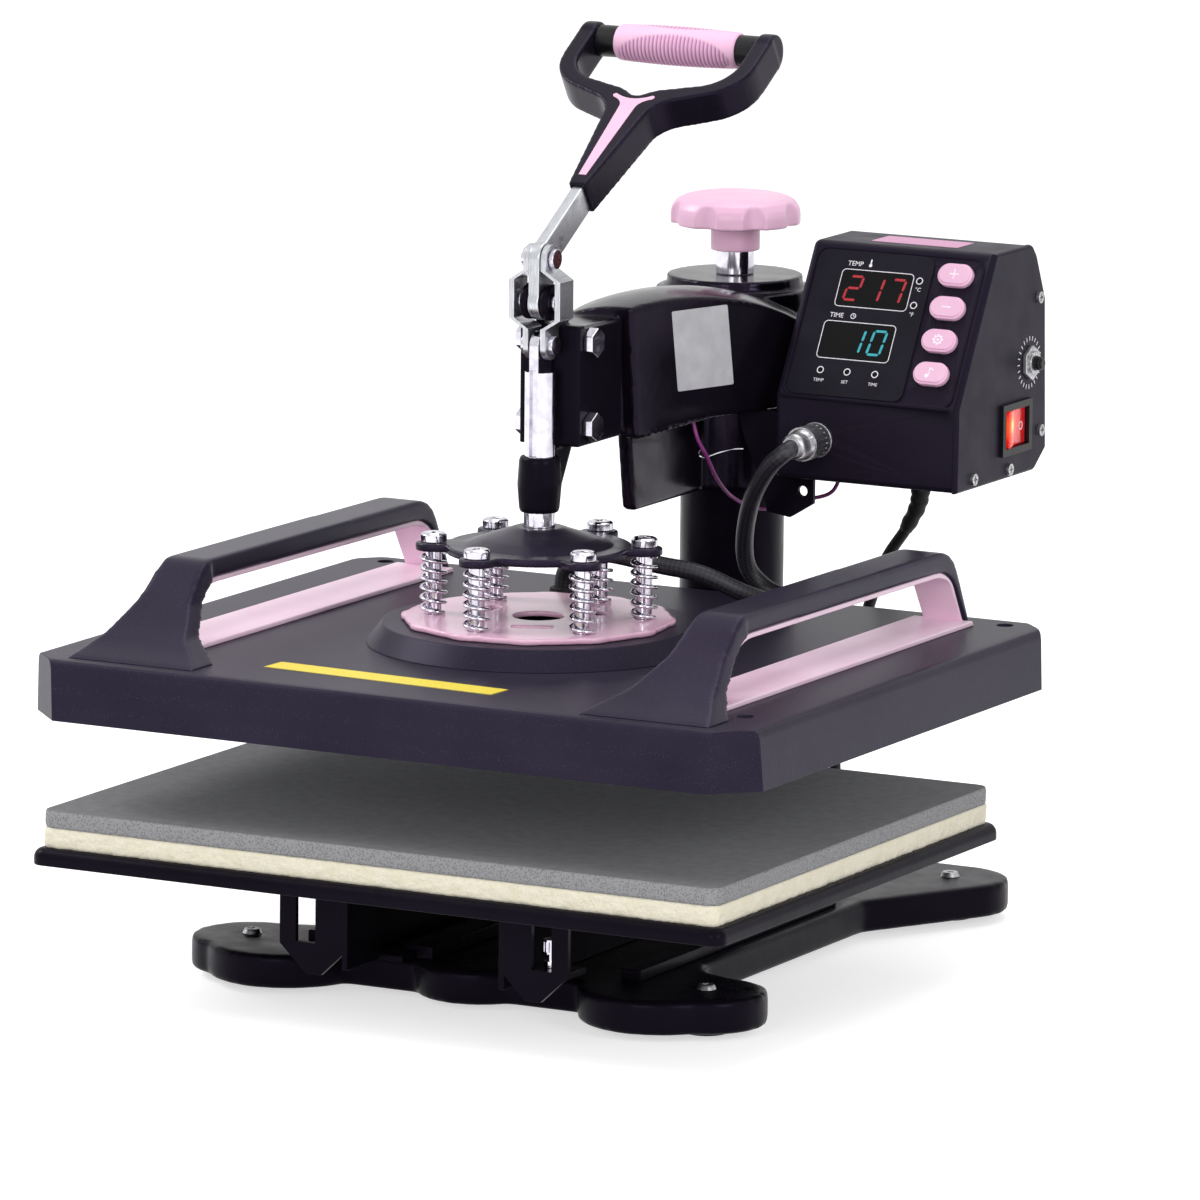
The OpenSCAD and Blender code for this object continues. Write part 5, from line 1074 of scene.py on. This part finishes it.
# %% [markdown]
# A seven-segment digit is seven bars with pointed ends, lit or dark. The display leans, so the
# bars are slid sideways as they go up.
# %% Seven-segment digits
SEGMENTS = {"0": "abcdef", "1": "bc", "2": "abdeg", "7": "abc"}
BARS = {"a": ((0, 2), (1, 2)), "b": ((1, 1), (1, 2)), "c": ((1, 0), (1, 1)), "d": ((0, 0), (1, 0)),
        "e": ((0, 0), (0, 1)), "f": ((0, 1), (0, 2)), "g": ((0, 1), (1, 1))}
DIGIT_W, DIGIT_H, DIGIT_PITCH, DIGIT_LEAN = 7.0, 12.6, 11.8, 0.14
BAR_W, BAR_GAP = 1.3, 0.3


def digits(name, figures, x, v, material):
    """A row of lit digits whose lower left corner is at x, v."""
    bm = bmesh.new()
    for number, figure in enumerate(figures):
        left = x + DIGIT_PITCH * number
        for segment in SEGMENTS[figure]:
            a, b = [Vector((left + i * DIGIT_W, v + j * DIGIT_H / 2)) for i, j in BARS[segment]]
            ahead = (b - a).normalized()
            side = ahead.orthogonal() * BAR_W / 2
            a, b = a + ahead * BAR_GAP, b - ahead * BAR_GAP
            point = ahead * BAR_W / 2
            shape = [a, a + point + side, b - point + side, b, b - point - side, a + point - side]
            prism(bm, [(q.x + DIGIT_LEAN * (q.y - v), q.y) for q in shape], GLASS_TOP, DIGIT_TOP)
    return printed(name, bm, material, "arm")


digits("upper_digits", "217", 24.5, 53.0, segment_red)
digits("lower_digits", "10", 33.0, 25.0, segment_blue)
print("digits drawn")


# %% [markdown]
# The captions are plain words. A Text object is the simple way to lettering: it becomes a mesh
# first, and its points are then laid on the panel. A thermometer and a clock stand beside them.
# %% Captions and pictograms
LETTER_HALF = 0.03
INK_TOP = 0.86
BULB_X, BULB_V = 35.2, 72.0
CLOCK_X, CLOCK_V = 32.6, 44.5


def caption(bm, text, x, v, size):
    """A word in the panel's coordinates, starting at x, v."""
    curve = bpy.data.curves.new("caption", "FONT")
    curve.body = text
    curve.size = size
    curve.extrude = LETTER_HALF
    curve.resolution_u = 3
    letters = bpy.data.objects.new("caption", curve)
    bpy.context.scene.collection.objects.link(letters)
    mesh = bpy.data.meshes.new_from_object(letters.evaluated_get(bpy.context.evaluated_depsgraph_get()))
    bpy.data.objects.remove(letters)
    for vertex in mesh.vertices:
        vertex.co = on_panel(x + vertex.co.x, v + vertex.co.y, FILM_TOP + LETTER_HALF + vertex.co.z)
    bm.from_mesh(mesh)
    bpy.data.meshes.remove(mesh)


bm = bmesh.new()
for text, x, v, size in (("TEMP", 22.5, 71.2, 3.6), ("TIME", 19.6, 43.2, 3.6), ("TEMP", 19.4, 8.6, 2.4),
                         ("SET", 34.9, 8.6, 2.4), ("TIME", 49.9, 8.6, 2.4), ("°C", 62.6, 60.4, 3.0),
                         ("°F", 62.6, 47.0, 3.0)):
    caption(bm, text, x, v, size)
bmesh.ops.remove_doubles(bm, verts=bm.verts, dist=1e-7)
prism(bm, disc(BULB_X, BULB_V, 0.9), FILM_TOP, INK_TOP)
stroke(bm, (BULB_X, BULB_V + 0.6), (BULB_X, BULB_V + 3.2), 0.8, FILM_TOP, INK_TOP + 0.01)
band(bm, disc(CLOCK_X, CLOCK_V, 1.5), disc(CLOCK_X, CLOCK_V, 1.1), FILM_TOP, INK_TOP)
stroke(bm, (CLOCK_X, CLOCK_V - 0.1), (CLOCK_X, CLOCK_V + 0.9), 0.3, FILM_TOP, INK_TOP)
stroke(bm, (CLOCK_X, CLOCK_V), (CLOCK_X + 0.8, CLOCK_V), 0.3, FILM_TOP, INK_TOP + 0.01)
printed("panel_captions", bm, white_ink, "arm")
print("captions drawn")

# %% [markdown]
# Each push button carries one pale mark: plus, minus, a gear and a note. The marks move with
# their buttons, so each is a piece on its button's body.
# %% Button marks
BUTTON_X, BUTTON_W = 83.0, 3.3
BUTTONS = {"plus": 70.43, "minus": 52.83, "set": 35.23, "sound": 17.63}
BAR_HALF, LINE = 2.6, 0.7
TOOTH = ((2.2, -14), (2.9, -9), (2.9, 9), (2.2, 14))
GEAR_BORE = 1.6
low, high = BUTTON_W - 0.05, BUTTON_W + 0.08
for body, v in BUTTONS.items():
    bm = bmesh.new()
    if body in ("plus", "minus"):
        stroke(bm, (BUTTON_X - BAR_HALF, v), (BUTTON_X + BAR_HALF, v), LINE, low, high)
    if body == "plus":
        for side in (-1, 1):
            stroke(bm, (BUTTON_X, v + side * LINE / 2), (BUTTON_X, v + side * BAR_HALF), LINE, low, high)
    if body == "set":
        teeth = [(r, math.radians(45 * k + a)) for k in range(8) for r, a in TOOTH]
        gear = [(BUTTON_X + r * math.cos(a), v + r * math.sin(a)) for r, a in teeth]
        hollow = [(BUTTON_X + GEAR_BORE * math.cos(a), v + GEAR_BORE * math.sin(a)) for r, a in teeth]
        band(bm, gear, hollow, low, high)
        prism(bm, disc(BUTTON_X, v, 0.7, 12), low, high)
    if body == "sound":
        prism(bm, disc(BUTTON_X - 1.3, v - 1.8, 1.1, 16), low, high)
        stroke(bm, (BUTTON_X - 0.3, v - 1.6), (BUTTON_X - 0.3, v + 2.6), 0.5, low, high + 0.01)
        stroke(bm, (BUTTON_X - 0.2, v + 2.4), (BUTTON_X + 2.0, v + 1.2), LINE, low, high)
    printed(body + "_mark", bm, button_ink, body)
print("button marks:", ", ".join(BUTTONS))


# %% [markdown]
# The rocker has the usual bar and ring for on and off, each lying on its own sloping half. The
# breaker has a ring of fine ticks round its nut, and ticks repeat, so Geometry Nodes lay one
# small block on each point of a ring and turn it outwards by its number.
# %% Rocker marks and breaker scale
ROCKER_PIVOT, ROCKER_TILT = Vector((161, 144, 264)), math.radians(8)
ROCKER_FACE, ROCKER_RISE, ROCKER_HALF = 3.0, 1.6, 11.8
MARK_Y, MARK_R, MARK_LINE = 6.5, 2.2, 0.5
MARK_LOW, MARK_HIGH = -0.05, 0.12
TICK_HEIGHT = 0.0003


def on_rocker(y, z, w):
    """Coordinates on the tilted rocker: along it, up it, and out of the half that y lies on."""
    x = ROCKER_FACE + abs(y) * ROCKER_RISE / ROCKER_HALF + w
    return (ROCKER_PIVOT + Matrix.Rotation(ROCKER_TILT, 3, "Z") @ Vector((x, y, z))) * MM


bm = bmesh.new()
ring_outside, ring_inside = disc(MARK_Y, 0, MARK_R), disc(MARK_Y, 0, MARK_R - MARK_LINE)
band(bm, ring_outside, ring_inside, MARK_LOW, MARK_HIGH, on_rocker)
stroke(bm, (-MARK_Y, -MARK_R), (-MARK_Y, MARK_R), MARK_LINE, MARK_LOW, MARK_HIGH, on_rocker)
printed("rocker_marks", bm, white_ink, "rocker")

tree, sizes = node_group("tick_ring", [
    ("Count", INT), ("Ring radius", FLOAT), ("Tick length", FLOAT), ("Tick width", FLOAT),
    ("Face X", FLOAT), ("Centre Y", FLOAT), ("Centre Z", FLOAT), ("Finish", MATERIAL)])
tick_size = add(tree, "ShaderNodeCombineXYZ",
                {"X": sizes["Tick length"], "Y": sizes["Tick width"], "Z": TICK_HEIGHT})
tick = add(tree, "GeometryNodeMeshCube", {"Size": tick_size})
ring = add(tree, "GeometryNodeMeshCircle", {"Vertices": sizes["Count"], "Radius": sizes["Ring radius"]})
share = calc(tree, "DIVIDE", 2 * math.pi, sizes["Count"])
number = add(tree, "GeometryNodeInputIndex")
angle = calc(tree, "MULTIPLY", number, share)
outward = add(tree, "ShaderNodeCombineXYZ", {"Z": angle})
ticks = add(tree, "GeometryNodeInstanceOnPoints", {"Points": ring, "Instance": tick,
                                                   "Rotation": outward})
centre = add(tree, "ShaderNodeCombineXYZ",
             {"X": sizes["Face X"], "Y": sizes["Centre Y"], "Z": sizes["Centre Z"]})
upright = add(tree, "GeometryNodeTransform", {"Geometry": ticks, "Translation": centre,
                                              "Rotation": (0.0, math.pi / 2, 0.0)})
close_tree(tree, upright, sizes["Finish"])
breaker_scale = grown("breaker_scale", tree, {
    "Count": 24, "Ring radius": 0.0122, "Tick length": 0.0022, "Tick width": 0.0005, "Face X": 0.16405,
    "Centre Y": 0.1597, "Centre Z": 0.2947, "Finish": white_ink}, white_ink)
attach(breaker_scale, "arm")
print("rocker marks and breaker scale,", len(breaker_scale.data.polygons), "faces")


# %% [markdown]
# Three plain stickers: a yellow strip with a dark border on the cover, a pink one on top of the
# box and a silver plate on the arm's side. They carry no words. Each is a thin prism laid on
# the surface that it is stuck to.
# %% Stickers
STRIP_X, STRIP_Y, STRIP_TURN = -17, -174, math.radians(-3.2)
STRIP_HALF_X, STRIP_HALF_V, STRIP_BORDER = 65.5, 8.5, 0.6
# the arm's side wall leans out by 37 mm over 107 mm, and the silver plate sits 47 mm along it
ARM_SIDE = Vector((37, 107, 0)).normalized()
ARM_OUT = Vector((ARM_SIDE.y, -ARM_SIDE.x, 0))
PLATE_CENTRE, PLATE_SHEAR = Vector((20 + 37 * 47 / 107, 51, 306)), 0.12
BOX_TOP = Vector((113, 141, 354))
STUCK = 0.02


def on_cover(x, v, w):
    along, across = math.cos(STRIP_TURN), math.sin(STRIP_TURN)
    return Vector((STRIP_X + x * along - v * across, STRIP_Y + x * across + v * along, COVER_TOP + w)) * MM


def on_arm(x, v, w):
    return (PLATE_CENTRE + ARM_SIDE * (x - PLATE_SHEAR * v) + Vector((0, 0, v)) + ARM_OUT * w) * MM


def on_box_top(x, v, w):
    return (BOX_TOP + Vector((x, v, w))) * MM


def sticker(name, place, half_x, half_v, corner, thick, material, body):
    bm = bmesh.new()
    prism(bm, box_outline(-half_x, -half_v, half_x, half_v, corner), STUCK, thick, place)
    return printed(name, bm, material, body)


sticker("yellow_strip", on_cover, STRIP_HALF_X, STRIP_HALF_V, 0.8, 0.15, label_yellow, "platen")
sticker("silver_plate", on_arm, 19, 20.3, 1.0, 0.2, label_silver, "arm")
sticker("pink_strip", on_box_top, 24, 10, 1.0, 0.15, label_pink, "arm")
bm = bmesh.new()
inner_x, inner_v = STRIP_HALF_X - STRIP_BORDER, STRIP_HALF_V - STRIP_BORDER
band(bm, box_outline(-STRIP_HALF_X, -STRIP_HALF_V, STRIP_HALF_X, STRIP_HALF_V, 0.8),
     box_outline(-inner_x, -inner_v, inner_x, inner_v, 0.6), 0.14, 0.18, on_cover)
printed("yellow_strip_border", bm, label_dark, "platen")
print("stickers placed")

# %% [markdown]
# The handle's pink inlay has its own flat coordinates too: x across the handle, v along it from
# the pivot and w out of the inlay's face. Its stem widens upwards and flares into two round
# horns, and three curves with one control point each draw half of that.
# %% Handle inlay
FORK = 108.4
INLAY_END = FORK + 9.5
INLAY_DEPTH = 0.6
along_handle = Vector((0, math.cos(HANDLE_LEAN), math.sin(HANDLE_LEAN)))
corners = [v.co for v in frame["nodes"]["handle_inlay"].data.vertices]
inlay_face = max(corner.dot(out_of_handle) for corner in corners)
inlay_tip = max(corner.dot(along_handle) for corner in corners)


def on_handle(x, v, w):
    along = along_handle * (inlay_tip + (v - INLAY_END) * MM)
    return Vector((x * MM, 0, 0)) + along + out_of_handle * (inlay_face + w * MM)


def curve_points(a, control, b, steps=8):
    """Points of a curve from a towards b that bends to its control point, without b itself."""
    a, control, b = Vector(a), Vector(control), Vector(b)
    shares = [k / steps for k in range(steps)]
    return [a * (1 - t) ** 2 + control * 2 * t * (1 - t) + b * t * t for t in shares]


half = [Vector((2, FORK - 54)), Vector((4.2, FORK - 3))]
half += curve_points((4.4, FORK + 0.5), (4.9, FORK + 5), (10.8, FORK + 7.4))
half += curve_points((10.8, FORK + 7.4), (12.6, FORK + 9.2), (10.2, FORK + 10))
half += curve_points((10.2, FORK + 10), (5, FORK + 6.8), (0, FORK + 6.8))
outline = [(p.x, p.y) for p in half] + [(-p.x, p.y) for p in reversed(half)]
bm = bmesh.new()
prism(bm, outline, -INLAY_DEPTH, 0.0, on_handle)
handle_inlay = printed("handle_inlay_finished", bm, pink_abs, "lever")
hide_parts("handle_inlay")
print("inlay", len(handle_inlay.data.polygons), "faces")

# %% [markdown]
# ## Floor, light and background
# The picture's background is plain white with a soft shadow. The floor is a large pale plane:
# it takes the shadow, and only to the camera and in reflections it glows a little, so that it
# reads as white without more light on the object. Large soft lamps give the broad highlights.
# %% Floor and world
FLOOR_HALF, FLOOR_LIFT = 60, 0.6
ROOM_LIGHT, SEEN_WHITE = 0.5, 1.0


def seen(tree):
    """1 for what is seen by the camera, in a mirror or through glass, and 0 for plain light."""
    rays = add(tree, "ShaderNodeLightPath").outputs
    mirrored = calc(tree, "MAXIMUM", rays["Is Camera Ray"], rays["Is Glossy Ray"])
    return calc(tree, "MAXIMUM", mirrored, rays["Is Transmission Ray"])


floor_white, tree, place = new_finish("floor_paper_white")
lift = calc(tree, "MULTIPLY", seen(tree), FLOOR_LIFT)
paper = add(tree, "ShaderNodeBsdfDiffuse", {"Color": linear("#e9e9ea")})
shine = add(tree, "ShaderNodeEmission", {"Strength": lift})
both = add(tree, "ShaderNodeAddShader", {0: paper, 1: shine})
add(tree, "ShaderNodeOutputMaterial", {"Surface": both})
mesh = bpy.data.meshes.new("floor")
mesh.from_pydata([(x * FLOOR_HALF, y * FLOOR_HALF, 0) for x, y in ((-1, -1), (1, -1), (1, 1), (-1, 1))], [],
                 [(0, 1, 2, 3)])
new_piece("floor", mesh, floor_white)

world = bpy.data.worlds.new("studio")
bpy.context.scene.world = world
world.use_nodes = True
tree = world.node_tree
tree.nodes.clear()
level = remapped(tree, seen(tree), 0.0, 1.0, ROOM_LIGHT, SEEN_WHITE)
sky = add(tree, "ShaderNodeBackground", {"Color": (1, 1, 1, 1), "Strength": level})
add(tree, "ShaderNodeOutputWorld", {"Surface": sky})
print("floor and world ready")


# %% [markdown]
# A soft box is an area lamp: the larger it is, the softer the shadow. The key stands high on
# the left, a broad one lights the front, one fills the right side, and one overhead draws the
# top edges.
# %% Lamps
LAMP_AIM = Vector((0, 0, 0.2))


def soft_box(name, place, size, watts):
    data = bpy.data.lights.new(name, "AREA")
    data.shape = "RECTANGLE"
    data.size, data.size_y = size
    data.energy = watts
    lamp = bpy.data.objects.new(name, data)
    bpy.context.scene.collection.objects.link(lamp)
    lamp.location = place
    lamp.rotation_euler = (LAMP_AIM - Vector(place)).to_track_quat("-Z", "Y").to_euler()


soft_box("key", (-2.1, -0.5, 1.9), (1.0, 1.0), 32)
soft_box("front", (0.3, -3.0, 1.1), (1.4, 1.0), 22)
soft_box("side", (2.6, -1.3, 1.2), (1.0, 1.2), 26)
soft_box("top", (0.1, 0.5, 2.4), (1.6, 1.6), 18)
bpy.context.scene.view_settings.view_transform = "Standard"
print("lamps ready")
